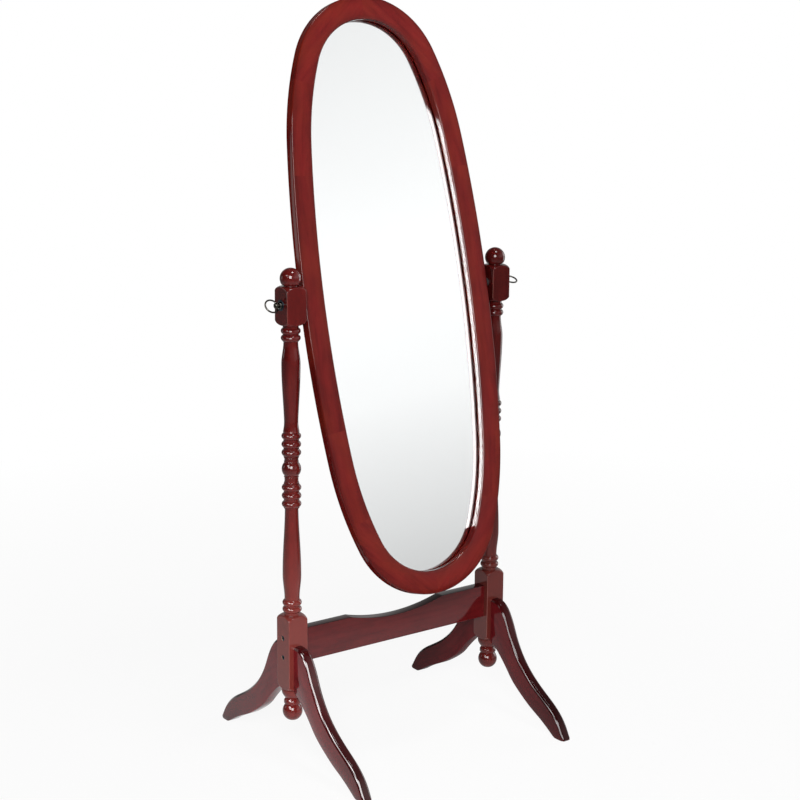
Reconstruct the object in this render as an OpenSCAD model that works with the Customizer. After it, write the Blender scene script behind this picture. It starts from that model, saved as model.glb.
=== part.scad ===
// Oval cheval floor mirror: two turned posts on four curved legs, joined by a
// rail, carry an oval framed mirror that tilts between two ring-headed clamp screws.
// Origin on the floor midway between the posts, +Z up, the mirror faces -Y.

/* [Stand] */
// Gap between a post block and the side of the frame
side_gap = 5; // [3:0.5:12]
// Height of the tilt axis above the floor
pivot_height = 940; // [880:1:1040]
// Side of the square blocks on the posts
block_side = 45; // [40:1:56]
// Height of the upper square block, corner to corner
upper_block_height = 59.5; // [50:0.5:70]
// How far the tilt axis lies above the middle of the upper block
pivot_rise = 2.5; // [0:0.5:5]
// Height of the lower block's upper corners above the floor
lower_block_top = 299.5; // [292:0.5:340]
// Height of the lower block's lower corners above the floor
lower_block_bottom = 162; // [140:1:164]

/* [Turning] */
// Radius of a bead
bead_radius = 19.5; // [17:0.1:21]
// Radius of the roundness of a bead, seen in profile
bead_round = 6.6; // [5.5:0.1:6.8]
// Radius of the grooves between beads
groove_radius = 15.6; // [14:0.1:16.5]
// Radius of the necks
neck_radius = 13.9; // [12:0.1:15.5]
// Greatest radius of the two long swellings
vase_radius = 18.8; // [16:0.1:20]
// Height taken by a bead of the end pairs
pair_pitch = 13.9; // [13.6:0.1:15]
// Height taken by a bead of the middle triples
triple_pitch = 16.9; // [14:0.1:19]
// Radius of the middle ball
ball_radius = 19.3; // [17:0.1:20]
// Radius of the ball on top of the post
finial_radius = 21; // [18:0.1:23]
// Height of the domed shoulders of the square blocks
shoulder_height = 8.6; // [6:0.1:11]
// Radius of the ball under the post
drop_radius = 20.4; // [18:0.1:22]
// Radius of the cup between the lower block and that ball
cup_radius = 22; // [18:0.5:22]
// Height of the neck above the lower ball's centre
drop_neck_height = 27.5; // [26:0.5:30]

/* [Legs] */
// How far a toe reaches from the post axis
leg_reach = 264.5; // [240:0.5:320]
// Height of the leg's top edge where it meets the post
leg_top = 246.5; // [225:0.5:255]
// Height of the leg's lower edge where it meets the post
leg_root = 151; // [140:1:165]
// Thickness of the leg board
leg_thickness = 23.5; // [18:0.5:28]
// Radius of the rounded upper edges of a leg
leg_round = 10.5; // [3:0.5:11]
// Length of the flat sole under a toe
sole_length = 26; // [18:1:34]
// Diameter of the dowels that hold a leg
dowel_diameter = 10; // [6:0.5:12]
// Length of a dowel
dowel_length = 38; // [30:1:39]

/* [Rail] */
// Thickness of the cross rail
rail_thickness = 22; // [18:1:30]
// Height of the rail's straight upper edge above the floor
rail_top = 276.5; // [270:0.5:290]
// Height of the rail's lower edge above the floor
rail_bottom = 206; // [180:0.5:215]
// Depth of the hollow in the rail's upper edge
rail_dip = 17; // [5:0.5:24]
// Radius of that hollow
rail_dip_radius = 423; // [300:1:600]
// Diameter of the rail bolts
bolt_diameter = 6; // [5:0.5:8]
// Diameter of a bolt head
bolt_head = 10; // [9:0.5:13]
// Distance between the two bolts of one end
bolt_pitch = 41; // [30:0.5:46]
// How far a cross nut sits from the end of the rail
nut_inset = 35; // [25:1:60]
// Diameter of a cross nut
nut_diameter = 10; // [9:0.5:14]

/* [Oval frame] */
// Overall width of the oval frame
frame_width = 458; // [380:1:560]
// Overall height of the oval frame
frame_height = 1214; // [1080:1:1224]
// Radius of the long sides, as a multiple of the overall height
side_curve = 2.383; // [2.2:0.001:2.6]
// Radius of the shoulders, as a share of the overall height
shoulder_curve = 0.5354; // [0.52:0.0001:0.56]
// Radius of the two ends, as a share of the overall width
end_curve = 0.391; // [0.375:0.001:0.4]
// Width of the moulding, seen from the front
moulding_width = 47; // [36:0.5:60]
// Thickness of the moulding
moulding_depth = 20; // [18:0.5:26]
// Radius of its front edges
moulding_round = 3; // [1:0.5:5]
// Height above the frame's middle at which the screws hold it
pivot_offset = 7.6; // [0:0.2:40]
// How far the mirror leans back
lean = 13.1; // [0:0.1:20]
// Height of the joints between long sides and shoulders, as a share of half the height
side_joint_share = 0.42; // [0.35:0.01:0.47]
// Height of the joints between shoulders and ends, as a share of half the height
end_joint_share = 0.73; // [0.68:0.01:0.76]

/* [Glass and back] */
// Thickness of the mirror glass
glass_thickness = 4; // [3:0.5:6]
// Width of the rebate that the glass lies in
rebate_width = 9; // [6:0.5:12]
// Thickness of the back board
board_thickness = 3; // [2:0.5:5]
// How far the back board laps over the frame outside the rebate
board_lap = 14; // [10:0.5:18]
// Number of screws round the back board
board_screws = 14; // [8:2:20]
// Diameter of the back board's screws
board_screw_diameter = 3; // [2:0.5:4]

/* [Pivot clamps] */
// Diameter of the clamp screw
screw_diameter = 6; // [5:0.5:8]
// How far the clamp screw reaches into the frame
screw_reach = 17; // [12:0.5:22]
// Diameter of the screw's hub
hub_diameter = 12; // [10:0.5:16]
// Length of the hub
hub_length = 14; // [12:0.5:20]
// Diameter of the wire of the thumb ring
ring_wire = 2.6; // [2:0.1:4]
// Radius of the thumb ring, at the middle of its wire
ring_radius = 14; // [12:0.5:20]
// Slope of the left thumb ring's plane
left_ring_slope = 51.5; // [0:0.5:180]
// Slope of the right thumb ring's plane
right_ring_slope = 22; // [0:0.5:180]
// Diameter of the outer washer
washer_diameter = 22; // [16:0.5:30]
// Thickness of the outer washer
washer_thickness = 1.5; // [1:0.1:3]
// Diameter of the threaded insert in the frame
insert_diameter = 10; // [9:0.5:12]
// Diameter of the spacer between post and frame
spacer_diameter = 18; // [14:0.5:19.5]

/* [Hidden] */

LACQUER = "#6e2424";
DARK_LACQUER = "#5c1f20";
BEECH = "#d2b48c";
STEEL = "#3a3d40";
NICKEL = "#b9b4a8";
BRASS = "#b8923f";
SILVER = "#dfe3e6";
BOARD = "#8a6a48";
NYLON = "#202020";

$fn = 96;
ROUND = 24;            // steps in a quarter turn of a computed curve
FIT = 0.05;            // radial clearance of a pin in its hole
SEAT = 0.05;           // gap between a washer and what it bears on
FREE = 0.3;            // gap between the frame and what it turns beside
GLUE = 0.01;           // half the glue line between two pieces of the frame

// --- where things are -------------------------------------------------------
post_x = frame_width / 2 + side_gap + block_side / 2;
half_block = block_side / 2;
inner_face = post_x - half_block;
outer_face = post_x + half_block;
upper_block_bottom = pivot_height - pivot_rise - upper_block_height / 2;
upper_block_top = upper_block_bottom + upper_block_height;

// --- turned spindle between the blocks --------------------------------------
collar_height = 4.5;
ball_height = 27;
lower_neck_height = 15.9;
upper_neck_height = 11.3;
lower_share = 0.512;
spindle_start = lower_block_top + shoulder_height;
spindle_end = upper_block_bottom - shoulder_height;
vases_height = spindle_end - spindle_start - 2 * collar_height - 4 * pair_pitch
    - 6 * triple_pitch - ball_height - lower_neck_height - upper_neck_height;
lower_pair = spindle_start + collar_height;
lower_vase = lower_pair + 2 * pair_pitch;
lower_triple = lower_vase + vases_height * lower_share;
lower_neck = lower_triple + 3 * triple_pitch;
ball_start = lower_neck + lower_neck_height;
upper_neck = ball_start + ball_height;
upper_triple = upper_neck + upper_neck_height;
upper_vase = upper_triple + 3 * triple_pitch;
upper_pair = spindle_end - collar_height - 2 * pair_pitch;

// A swelling from z0 to z1, widest at the share `peak` of its height, as points [r, z];
// its foot may flare out by `flare`.
function swell(t, peak) = t < peak ? (1 - cos(180 * t / peak)) / 2
    : (1 + cos(180 * (t - peak) / (1 - peak))) / 2;
function vase(z0, z1, peak, foot, head, flare) = [for (i = [0 : ROUND])
    let (t = i / ROUND, narrow = foot + (head - foot) * t, f = max(0, 1 - t / 0.13))
    [narrow + (vase_radius - narrow) * swell(t, peak) + flare * f * f, z0 + (z1 - z0) * t]];

module beads(start, pitch, count) {
    for (i = [0 : count - 1])
        translate([bead_radius - bead_round, start + (i + 0.5) * pitch])
            circle(bead_round);
    translate([0, start]) square([groove_radius, pitch * count]);
}

module spindle() {
    rotate_extrude() intersection() {
        square([2 * bead_radius, pivot_height]);
        union() {
            polygon(concat([[0, lower_vase]],
                vase(lower_vase, lower_triple, 0.27, 15.2, 13.5, 0), [[0, lower_triple]]));
            polygon(concat([[0, upper_vase]],
                vase(upper_vase, upper_pair, 0.75, 13.6, 14.4, 2.8), [[0, upper_pair]]));
            translate([0, spindle_start - 1])
                square([groove_radius, collar_height + 1]);
            translate([0, spindle_end - collar_height])
                square([groove_radius, collar_height + 1]);
            translate([0, lower_neck - 1]) square([neck_radius, upper_triple - lower_neck + 2]);
            translate([0, ball_start + ball_height / 2]) circle(ball_radius);
            beads(lower_pair, pair_pitch, 2);
            beads(lower_triple, triple_pitch, 3);
            beads(upper_triple, triple_pitch, 3);
            beads(upper_pair, pair_pitch, 2);
        }
    }
}

// Square block whose ends are domed by turning, between corner heights z0 and z1
corner_radius = half_block * sqrt(2);
dome_flat = 17;
dome_width = corner_radius - dome_flat;
function dome_radius(rise) = (dome_width * dome_width + rise * rise) / (2 * rise);
function dome_drop(r, rise) = let (x = r - dome_flat, R = dome_radius(rise)) R - sqrt(R * R - x * x);
module block(z0, z1, lower_rise) {
    steps = 10;
    crown = [for (i = [0 : steps]) let (r = dome_flat + dome_width * i / steps)
        [r, z1 + shoulder_height - dome_drop(r, shoulder_height)]];
    base = [for (i = [steps : -1 : 0]) let (r = dome_flat + dome_width * i / steps)
        [r, z0 - lower_rise + dome_drop(r, lower_rise)]];
    intersection() {
        translate([-half_block, -half_block, z0 - lower_rise])
            cube([block_side, block_side, z1 - z0 + lower_rise + shoulder_height]);
        rotate_extrude() polygon(concat([[0, z1 + shoulder_height]], crown, base, [[0, z0 - lower_rise]]));
    }
}

// Ball on top, with a cove under it
finial_height = upper_block_top + shoulder_height + 0.7 * finial_radius;
cove = 2.6;
module finial() {
    rotate_extrude() difference() {
        intersection() {
            translate([0, finial_height]) circle(finial_radius);
            translate([0, upper_block_top]) square([finial_radius, 3 * finial_radius]);
        }
        translate([neck_radius - 0.3 + cove, upper_block_top + shoulder_height + 0.6]) circle(cove);
    }
}

// Cup, neck, collar and ball below the lower block; the ball is cut flat
base_rise = 10.6;
cup_top = lower_block_bottom - base_rise;
cup_rim = 5;
drop_flat = 11;
drop_collar = 17.6;
drop_centre = lower_block_bottom - 59.7;
drop_neck = drop_centre + drop_neck_height;
collar_foot = drop_centre + 16.5;
module drop() {
    cup = [for (i = [0 : ROUND]) let (t = i / ROUND) [neck_radius + (cup_radius - neck_radius) * sin(90 * t),
        drop_neck + (cup_top - cup_rim - drop_neck) * t]];
    difference() {
        union() {
            rotate_extrude() polygon(concat([[0, drop_centre], [neck_radius, drop_centre + 13],
                [neck_radius, collar_foot - 0.5], [drop_collar - 1, collar_foot], [drop_collar, collar_foot + 1.5],
                [drop_collar - 0.3, drop_neck - 4], [neck_radius + 0.6, drop_neck - 0.6]], cup,
                [[cup_radius - 0.3, cup_top - 1.6], [cup_radius - 1.4, cup_top - 1.2],
                [cup_radius - 1.4, cup_top + 1], [0, cup_top + 1]]));
            translate([0, 0, drop_centre]) sphere(drop_radius);
        }
        translate([0, 0, drop_centre - sqrt(drop_radius * drop_radius - drop_flat * drop_flat) - 20])
            cylinder(h = 20, r = 2 * drop_radius);
    }
}

// --- holes in the posts -----------------------------------------------------
bolt_middle = (rail_top + rail_bottom) / 2 - 0.75;
bolt_heights = [bolt_middle - bolt_pitch / 2, bolt_middle + bolt_pitch / 2];
head_depth = 6;
dowel_in_post = half_block - bolt_diameter / 2 - 1.5;
dowel_heights = [leg_root + 22, leg_top - 26];

// The post stands on its own axis; its outer side faces -X
module post() {
    difference() {
        union() {
            spindle();
            block(lower_block_bottom, lower_block_top, base_rise);
            block(upper_block_bottom, upper_block_top, shoulder_height);
            finial();
            drop();
        }
        translate([-block_side, 0, pivot_height]) rotate([0, 90, 0])
            cylinder(h = 2 * block_side, r = screw_diameter / 2 + FIT);
        for (z = bolt_heights) translate([0, 0, z]) rotate([0, 90, 0]) {
            translate([0, 0, -block_side]) cylinder(h = 2 * block_side, r = bolt_diameter / 2 + FIT);
            translate([0, 0, -block_side]) cylinder(h = block_side - half_block + head_depth,
                r = bolt_head / 2 + FIT);
        }
        for (z = dowel_heights, side = [-1, 1]) translate([0, side * half_block, z])
            rotate([side * 90, 0, 0]) cylinder(h = dowel_in_post, r = dowel_diameter / 2 + FIT);
    }
}

module left_post() { color(LACQUER) translate([-post_x, 0, 0]) post(); }
module right_post() { color(LACQUER) translate([post_x, 0, 0]) mirror([1, 0, 0]) post(); }

// --- rail -------------------------------------------------------------------
nut_length = 14;
nut_back = 1.5;        // how far the nut lies below the rail's rear face
module cross_rail() {
    color(DARK_LACQUER) difference() {
        translate([0, rail_thickness / 2, 0]) rotate([90, 0, 0])
            linear_extrude(rail_thickness) difference() {
                translate([-inner_face, rail_bottom]) square([2 * inner_face, rail_top - rail_bottom]);
                translate([0, rail_top - rail_dip + rail_dip_radius]) circle(rail_dip_radius, $fn = 360);
            }
        for (z = bolt_heights, side = [-1, 1]) {
            translate([side * inner_face, 0, z]) rotate([0, -side * 90, 0])
                cylinder(h = nut_inset + nut_diameter, r = bolt_diameter / 2 + FIT);
            translate([side * (inner_face - nut_inset), rail_thickness / 2 - nut_back - nut_length, z])
                rotate([-90, 0, 0]) cylinder(h = nut_length + nut_back + 1, r = nut_diameter / 2 + FIT);
        }
    }
}

bolt_tip = nut_inset + nut_diameter / 2 + 2;
module rail_bolts() {
    color(STEEL) for (z = bolt_heights) translate([-outer_face + head_depth, 0, z]) rotate([0, 90, 0])
        difference() {
            union() {
                cylinder(h = block_side - head_depth + bolt_tip, r = bolt_diameter / 2);
                translate([0, 0, 0.5 - head_depth]) cylinder(h = head_depth - 0.5, r = bolt_head / 2);
            }
            translate([0, 0, -head_depth]) cylinder(h = 4, r = bolt_head * 0.27, $fn = 6);
        }
}
module left_rail_bolts() { rail_bolts(); }
module right_rail_bolts() { mirror([1, 0, 0]) rail_bolts(); }

module cross_nuts() {
    color(NICKEL) for (z = bolt_heights)
        translate([-inner_face + nut_inset, rail_thickness / 2 - nut_back - nut_length, z]) difference() {
            rotate([-90, 0, 0]) cylinder(h = nut_length, r = nut_diameter / 2);
            translate([-nut_diameter, nut_length + nut_back - rail_thickness / 2, 0]) rotate([0, 90, 0])
                cylinder(h = 2 * nut_diameter, r = bolt_diameter / 2 + FIT);
        }
}
module left_cross_nuts() { cross_nuts(); }
module right_cross_nuts() { mirror([1, 0, 0]) cross_nuts(); }

// --- legs -------------------------------------------------------------------
// A leg is skinned over sections that stand between its upper and lower outlines.
// Outlines are smooth curves through a few points [reach, height].
// Points are shares of the reach beyond the post, and of the leg's height above or below.
leg_span = leg_reach - half_block;
heel = leg_span - sole_length - 2;
function outline(shares, height) = [for (p = shares) [half_block + p[0] * leg_span, p[1] * height]];
upper_outline = concat(outline([[0, 1], [0.08, 0.994], [0.15, 0.937], [0.211, 0.84], [0.269, 0.716],
    [0.343, 0.601], [0.433, 0.498], [0.552, 0.401], [0.676, 0.325], [0.791, 0.259], [0.877, 0.192],
    [0.926, 0.134], [0.963, 0.074]], leg_top), [[leg_reach, 3]]);
lower_outline = concat(outline([[0, 1], [0.035, 0.967], [0.08, 0.917], [0.125, 0.854], [0.175, 0.778],
    [0.232, 0.682], [0.302, 0.56], [0.396, 0.444], [0.544, 0.295], [0.688, 0.185], [0.803, 0.08]],
    leg_root), [[half_block + heel, 0], [half_block + heel + sole_length / 2, 0], [leg_reach - 2, 0]]);
// Point at share t of a span, on the Catmull-Rom curve through four points
function through(a, b, c, d, t) = 0.5 * ((2 * b) + (c - a) * t + (2 * a - 5 * b + 4 * c - d) * t * t
    + (3 * b - a - 3 * c + d) * t * t * t);
function curve(p, steps) = let (n = len(p) - 1) [for (i = [0 : n * steps])
    let (k = min(floor(i / steps), n - 1), t = i / steps - k)
    through(k > 0 ? p[k - 1] : 2 * p[0] - p[1], p[k], p[k + 1],
        k < n - 1 ? p[k + 2] : 2 * p[n] - p[n - 1], t)];
leg_steps = 3;
edge_steps = 5;
// Section of a leg h high: [across, up], round above and eased below
function leg_section(h) = let (w = leg_thickness / 2, r = min(leg_round, w - 1, 0.45 * h), e = min(1, h / 5))
    concat([[-w, e], [-w, h - r]],
        [for (i = [1 : edge_steps]) let (a = 90 * i / edge_steps) [-w + r - r * cos(a), h - r + r * sin(a)]],
        [for (i = [0 : edge_steps]) let (a = 90 * i / edge_steps) [w - r + r * sin(a), h - r + r * cos(a)]],
        [[w, e], [w - e, 0], [-w + e, 0]]);
module leg_body() {
    upper = curve(upper_outline, leg_steps);
    lower = [for (p = curve(lower_outline, leg_steps)) [p[0], max(p[1], 0)]];
    rings = [for (i = [0 : len(upper) - 1]) let (d = upper[i] - lower[i], h = norm(d), e = d / h)
        [for (q = leg_section(h)) [q[0], lower[i][0] + e[0] * q[1], lower[i][1] + e[1] * q[1]]]];
    n = len(rings[0]);
    last = len(rings) - 1;
    polyhedron(points = [for (ring = rings) each ring], faces = concat(
        [[for (j = [n - 1 : -1 : 0]) j]],
        [for (i = [0 : last - 1], j = [0 : n - 1])
            [i * n + j, i * n + (j + 1) % n, (i + 1) * n + (j + 1) % n]],
        [for (i = [0 : last - 1], j = [0 : n - 1])
            [i * n + j, (i + 1) * n + (j + 1) % n, (i + 1) * n + j]],
        [[for (j = [0 : n - 1]) last * n + j]]));
}
dowel_in_leg = dowel_length - dowel_in_post + 1;
module leg(side_x, side_y) {
    translate([side_x * post_x, 0, 0]) mirror([0, side_y < 0 ? 1 : 0, 0]) difference() {
        leg_body();
        for (z = dowel_heights) translate([0, half_block - 1, z]) rotate([-90, 0, 0])
            cylinder(h = dowel_in_leg + 1, r = dowel_diameter / 2 + FIT);
    }
}
module front_left_leg() { color(LACQUER) leg(-1, -1); }
module rear_left_leg() { color(LACQUER) leg(-1, 1); }
module front_right_leg() { color(LACQUER) leg(1, -1); }
module rear_right_leg() { color(LACQUER) leg(1, 1); }

module leg_dowels(side_x) {
    color(BEECH) for (z = dowel_heights, side = [-1, 1])
        translate([side_x * post_x, side * (half_block - dowel_in_post + 0.5), z])
            rotate([-side * 90, 0, 0]) cylinder(h = dowel_length, r = dowel_diameter / 2);
}
module left_leg_dowels() { leg_dowels(-1); }
module right_leg_dowels() { leg_dowels(1); }

// --- oval -------------------------------------------------------------------
// Each quarter of the oval is three arcs that meet smoothly: side, shoulder, end.
// Their centres follow from the overall size and the three radii.
half_width = frame_width / 2;
half_height = frame_height / 2;
side_radius = round(side_curve * frame_height);
shoulder_radius = round(shoulder_curve * frame_height);
end_radius = round(end_curve * frame_width);
side_centre = [half_width - side_radius, 0];
end_centre = [0, half_height - end_radius];
centre_line = end_centre - side_centre;
side_to_shoulder = side_radius - shoulder_radius;
shoulder_to_end = shoulder_radius - end_radius;
centre_gap = norm(centre_line);
side_angle = atan2(centre_line[1], centre_line[0])
    - acos((side_to_shoulder * side_to_shoulder + centre_gap * centre_gap
        - shoulder_to_end * shoulder_to_end) / (2 * side_to_shoulder * centre_gap));
shoulder_centre = side_centre + side_to_shoulder * [cos(side_angle), sin(side_angle)];
shoulder_angle = atan2(end_centre[1] - shoulder_centre[1], end_centre[0] - shoulder_centre[0]);
side_joint_angle = asin(side_joint_share * half_height / side_radius);
end_joint_angle = asin((end_joint_share * half_height - shoulder_centre[1]) / shoulder_radius);

// The pane's and board's outline: the oval drawn in by `inset`, as points
function arc(c, r, a0, a1, steps) = [for (i = [0 : steps]) let (a = a0 + (a1 - a0) * i / steps)
    c + r * [cos(a), sin(a)]];
function quarter(inset) = concat(
    arc(side_centre, side_radius - inset, 0, side_angle, 6),
    arc(shoulder_centre, shoulder_radius - inset, side_angle + 1, shoulder_angle, 8),
    arc(end_centre, end_radius - inset, shoulder_angle + 3, 90, 16));
function flip(p, x, z) = [for (q = p) [q[0] * x, q[1] * z]];
function back_to_front(p) = [for (i = [len(p) - 2 : -1 : 1]) p[i]];
module oval(inset) {
    q = quarter(inset);
    polygon(concat(q, back_to_front(flip(q, -1, 1)), flip(q, -1, -1), back_to_front(flip(q, 1, -1))));
}

// Moves a piece drawn upright about the frame's middle to its place on the pivot.
// There, x runs to the right, y to the rear and z up the frame.
module on_pivot() {
    translate([0, 0, pivot_height]) rotate([-lean, 0, 0]) translate([0, 0, -pivot_offset]) children();
}
module upright(y) { translate([0, y, 0]) rotate([90, 0, 0]) children(); }

rear = moulding_depth / 2;
// Section of the moulding: X runs outward, +Y is the face and -Y the back
module moulding_profile(radius) {
    inner = radius - moulding_width;
    back = -moulding_depth / 2;
    r = moulding_round;
    difference() {
        union() {
            translate([inner, back]) square([moulding_width, moulding_depth - r]);
            translate([inner + r, 0]) square([moulding_width - 2 * r, moulding_depth / 2]);
            for (x = [inner + r, radius - r]) translate([x, moulding_depth / 2 - r]) circle(r);
        }
        translate([inner - 1, back - 1]) square([rebate_width + 1, glass_thickness + 1]);
    }
}
// Arc of moulding in a plane of its own, from the X axis on
module arc_of(radius, angle) { rotate_extrude(angle = angle, $fn = 720) moulding_profile(radius); }
// Stands such a plane upright, turned about a centre of the oval
module about(centre, turn) {
    rotate([90, 0, 0]) translate([centre[0], centre[1], 0]) rotate([0, 0, turn]) children();
}

// Screws of the back board stand at even steps round the oval, on the board's lap
screw_line = moulding_width - rebate_width - board_lap / 2;
function lengths(p, i) = i == 0 ? [0] : let (a = lengths(p, i - 1)) concat(a, [a[i - 1] + norm(p[i] - p[i - 1])]);
line = quarter(screw_line);
run = lengths(line, len(line) - 1);
quarter_run = run[len(run) - 1];
function at(s) = let (i = min(max([for (k = [0 : len(run) - 1]) run[k] <= s ? k : 0]), len(run) - 2),
    f = (s - run[i]) / (run[i + 1] - run[i])) line[i] * (1 - f) + line[i + 1] * f;
function round_oval(s) = let (q = floor(s / quarter_run), d = s - q * quarter_run)
    q == 0 ? at(d) : q == 1 ? let (p = at(quarter_run - d)) [-p[0], p[1]]
    : q == 2 ? let (p = at(d)) [-p[0], -p[1]] : let (p = at(quarter_run - d)) [p[0], -p[1]];
screw_places = [for (i = [0 : board_screws - 1]) round_oval((i + 0.5) * 4 * quarter_run / board_screws)];
board_screw_grip = 10;
module board_screw_holes(extra) {
    for (p = screw_places) translate([p[0], rear - board_screw_grip, p[1]]) rotate([-90, 0, 0])
        cylinder(h = board_screw_grip + extra, r = board_screw_diameter / 2 + FIT);
}

glue_angle = GLUE * 180 / PI;
side_end_angle = side_joint_angle - glue_angle / side_radius;
module side_arc() {
    difference() {
        about(side_centre, -side_end_angle) arc_of(side_radius, 2 * side_end_angle);
        translate([half_width - insert_length, 0, pivot_offset]) rotate([0, 90, 0])
            cylinder(h = insert_length + 1, r = insert_diameter / 2 + FIT);
        translate([half_width - screw_reach - 2, 0, pivot_offset]) rotate([0, 90, 0])
            cylinder(h = screw_reach, r = screw_diameter / 2 + 2 * FIT);
    }
}
// Two arcs of one piece are drawn from the line through both their centres, where they meet
module shoulder_arc() {
    about(shoulder_centre, side_angle) {
        arc_of(shoulder_radius, end_joint_angle - side_angle - glue_angle / shoulder_radius);
        translate([shoulder_radius - side_radius, 0, 0]) mirror([0, 1, 0])
            arc_of(side_radius, side_angle - side_joint_angle - glue_angle / side_radius);
    }
}
module end_arc() {
    about(shoulder_centre, shoulder_angle) {
        mirror([0, 1, 0])
            arc_of(shoulder_radius, shoulder_angle - end_joint_angle - glue_angle / shoulder_radius);
        translate([shoulder_radius - end_radius, 0, 0]) 
            arc_of(end_radius, 90 - shoulder_angle - glue_angle / end_radius);
    }
}
module frame_piece(x, z) {
    color(LACQUER) on_pivot() difference() {
        mirror([x, 0, 0]) mirror([0, 0, z]) union() children();
        board_screw_holes(1);
    }
}
module frame_right_side() { frame_piece(0, 0) side_arc(); }
module frame_left_side() { frame_piece(1, 0) side_arc(); }
module frame_upper_right_shoulder() { frame_piece(0, 0) shoulder_arc(); }
module frame_upper_left_shoulder() { frame_piece(1, 0) shoulder_arc(); }
module frame_lower_right_shoulder() { frame_piece(0, 1) shoulder_arc(); }
module frame_lower_left_shoulder() { frame_piece(1, 1) shoulder_arc(); }
module frame_top_right_end() { frame_piece(0, 0) end_arc(); }
module frame_top_left_end() { frame_piece(1, 0) end_arc(); }
module frame_bottom_right_end() { frame_piece(0, 1) end_arc(); }
module frame_bottom_left_end() { frame_piece(1, 1) end_arc(); }

// --- glass and back board ---------------------------------------------------
glass_play = 0.6;
module mirror_glass() {
    color(SILVER) on_pivot() upright(rear)
        linear_extrude(glass_thickness) oval(moulding_width - rebate_width + glass_play);
}
module back_board() {
    color(BOARD) on_pivot() difference() {
        upright(rear + board_thickness) linear_extrude(board_thickness)
            oval(moulding_width - rebate_width - board_lap);
        board_screw_holes(board_thickness + 1);
    }
}
screw_head_height = 1.8;
module back_board_screws() {
    color(STEEL) on_pivot() for (p = screw_places)
        translate([p[0], rear + board_thickness, p[1]]) rotate([90, 0, 0]) {
            cylinder(h = board_thickness + board_screw_grip - 1, r = board_screw_diameter / 2);
            translate([0, 0, -screw_head_height])
                cylinder(h = screw_head_height, r1 = board_screw_diameter * 0.8, r2 = board_screw_diameter);
        }
}

// --- pivot clamps -----------------------------------------------------------
// Drawn on the left; x = 0 is the block's outer face and -X points outward.
insert_length = 13;
function outward(x) = -outer_face - x;
module on_left_axis() { translate([-outer_face, 0, pivot_height]) rotate([0, -90, 0]) children(); }
ring_centre = washer_thickness + 2 * SEAT + 5.5 + ring_radius;

module clamp_washer() {
    color(STEEL) on_left_axis() translate([0, 0, SEAT]) difference() {
        cylinder(h = washer_thickness, r = washer_diameter / 2);
        translate([0, 0, -1]) cylinder(h = washer_thickness + 2, r = screw_diameter / 2 + FIT);
    }
}
// Hub with a domed end, bored across for the ring; its shank runs through post and spacer
module clamp_screw(slope) {
    seat = washer_thickness + 2 * SEAT;
    color(NICKEL) difference() {
        on_left_axis() {
            translate([0, 0, seat]) rotate_extrude() polygon([[0, 0], [hub_diameter / 2 + 1.5, 0],
                [hub_diameter / 2 + 1.5, 1.5], [hub_diameter / 2 - 0.5, 3], [hub_diameter / 2 - 0.5, 4.5],
                [hub_diameter / 2, 5.5], [hub_diameter / 2, hub_length - 4],
                [hub_diameter / 2 - 1.2, hub_length - 1.6], [hub_diameter / 2 - 3.4, hub_length - 0.2],
                [0, hub_length]]);
            translate([0, 0, -block_side - side_gap - screw_reach])
                cylinder(h = block_side + side_gap + screw_reach + seat + 1, r = screw_diameter / 2);
        }
        thumb_ring_solid(slope, FIT);
    }
}
module thumb_ring_solid(slope, grow) {
    translate([outward(ring_centre), 0, pivot_height]) rotate([slope, 0, 0])
        rotate_extrude() translate([ring_radius, 0]) circle(ring_wire / 2 + grow, $fn = 32);
}
module thumb_ring(slope) { color(NICKEL) thumb_ring_solid(slope, 0); }
module threaded_insert() {
    color(BRASS) on_left_axis() translate([0, 0, -block_side - side_gap - insert_length]) difference() {
        cylinder(h = insert_length - 0.2, r = insert_diameter / 2);
        translate([0, 0, -1]) cylinder(h = insert_length + 2, r = screw_diameter / 2 + FIT);
    }
}
module spacer() {
    color(NYLON) on_left_axis() translate([0, 0, -block_side - side_gap + FREE]) difference() {
        cylinder(h = side_gap - FREE, r = spacer_diameter / 2);
        translate([0, 0, -1]) cylinder(h = side_gap + 2, r = screw_diameter / 2 + FIT);
    }
}
module left_clamp_washer() { clamp_washer(); }
module right_clamp_washer() { mirror([1, 0, 0]) clamp_washer(); }
module left_clamp_screw() { clamp_screw(left_ring_slope); }
module right_clamp_screw() { mirror([1, 0, 0]) clamp_screw(right_ring_slope); }
module left_thumb_ring() { thumb_ring(left_ring_slope); }
module right_thumb_ring() { mirror([1, 0, 0]) thumb_ring(right_ring_slope); }
module left_threaded_insert() { threaded_insert(); }
module right_threaded_insert() { mirror([1, 0, 0]) threaded_insert(); }
module left_spacer() { spacer(); }
module right_spacer() { mirror([1, 0, 0]) spacer(); }

left_post();
right_post();
cross_rail();
front_left_leg();
rear_left_leg();
front_right_leg();
rear_right_leg();
left_leg_dowels();
right_leg_dowels();
left_rail_bolts();
right_rail_bolts();
left_cross_nuts();
right_cross_nuts();
left_spacer();
right_spacer();
frame_left_side();
frame_right_side();
frame_upper_left_shoulder();
frame_upper_right_shoulder();
frame_lower_left_shoulder();
frame_lower_right_shoulder();
frame_top_left_end();
frame_top_right_end();
frame_bottom_left_end();
frame_bottom_right_end();
mirror_glass();
back_board();
back_board_screws();
left_threaded_insert();
right_threaded_insert();
left_clamp_washer();
left_clamp_screw();
left_thumb_ring();
right_clamp_washer();
right_clamp_screw();
right_thumb_ring();
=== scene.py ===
import math

import bmesh
import bpy
from bpy.props import FloatProperty, FloatVectorProperty, PointerProperty
from mathutils import Matrix, Vector


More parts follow.
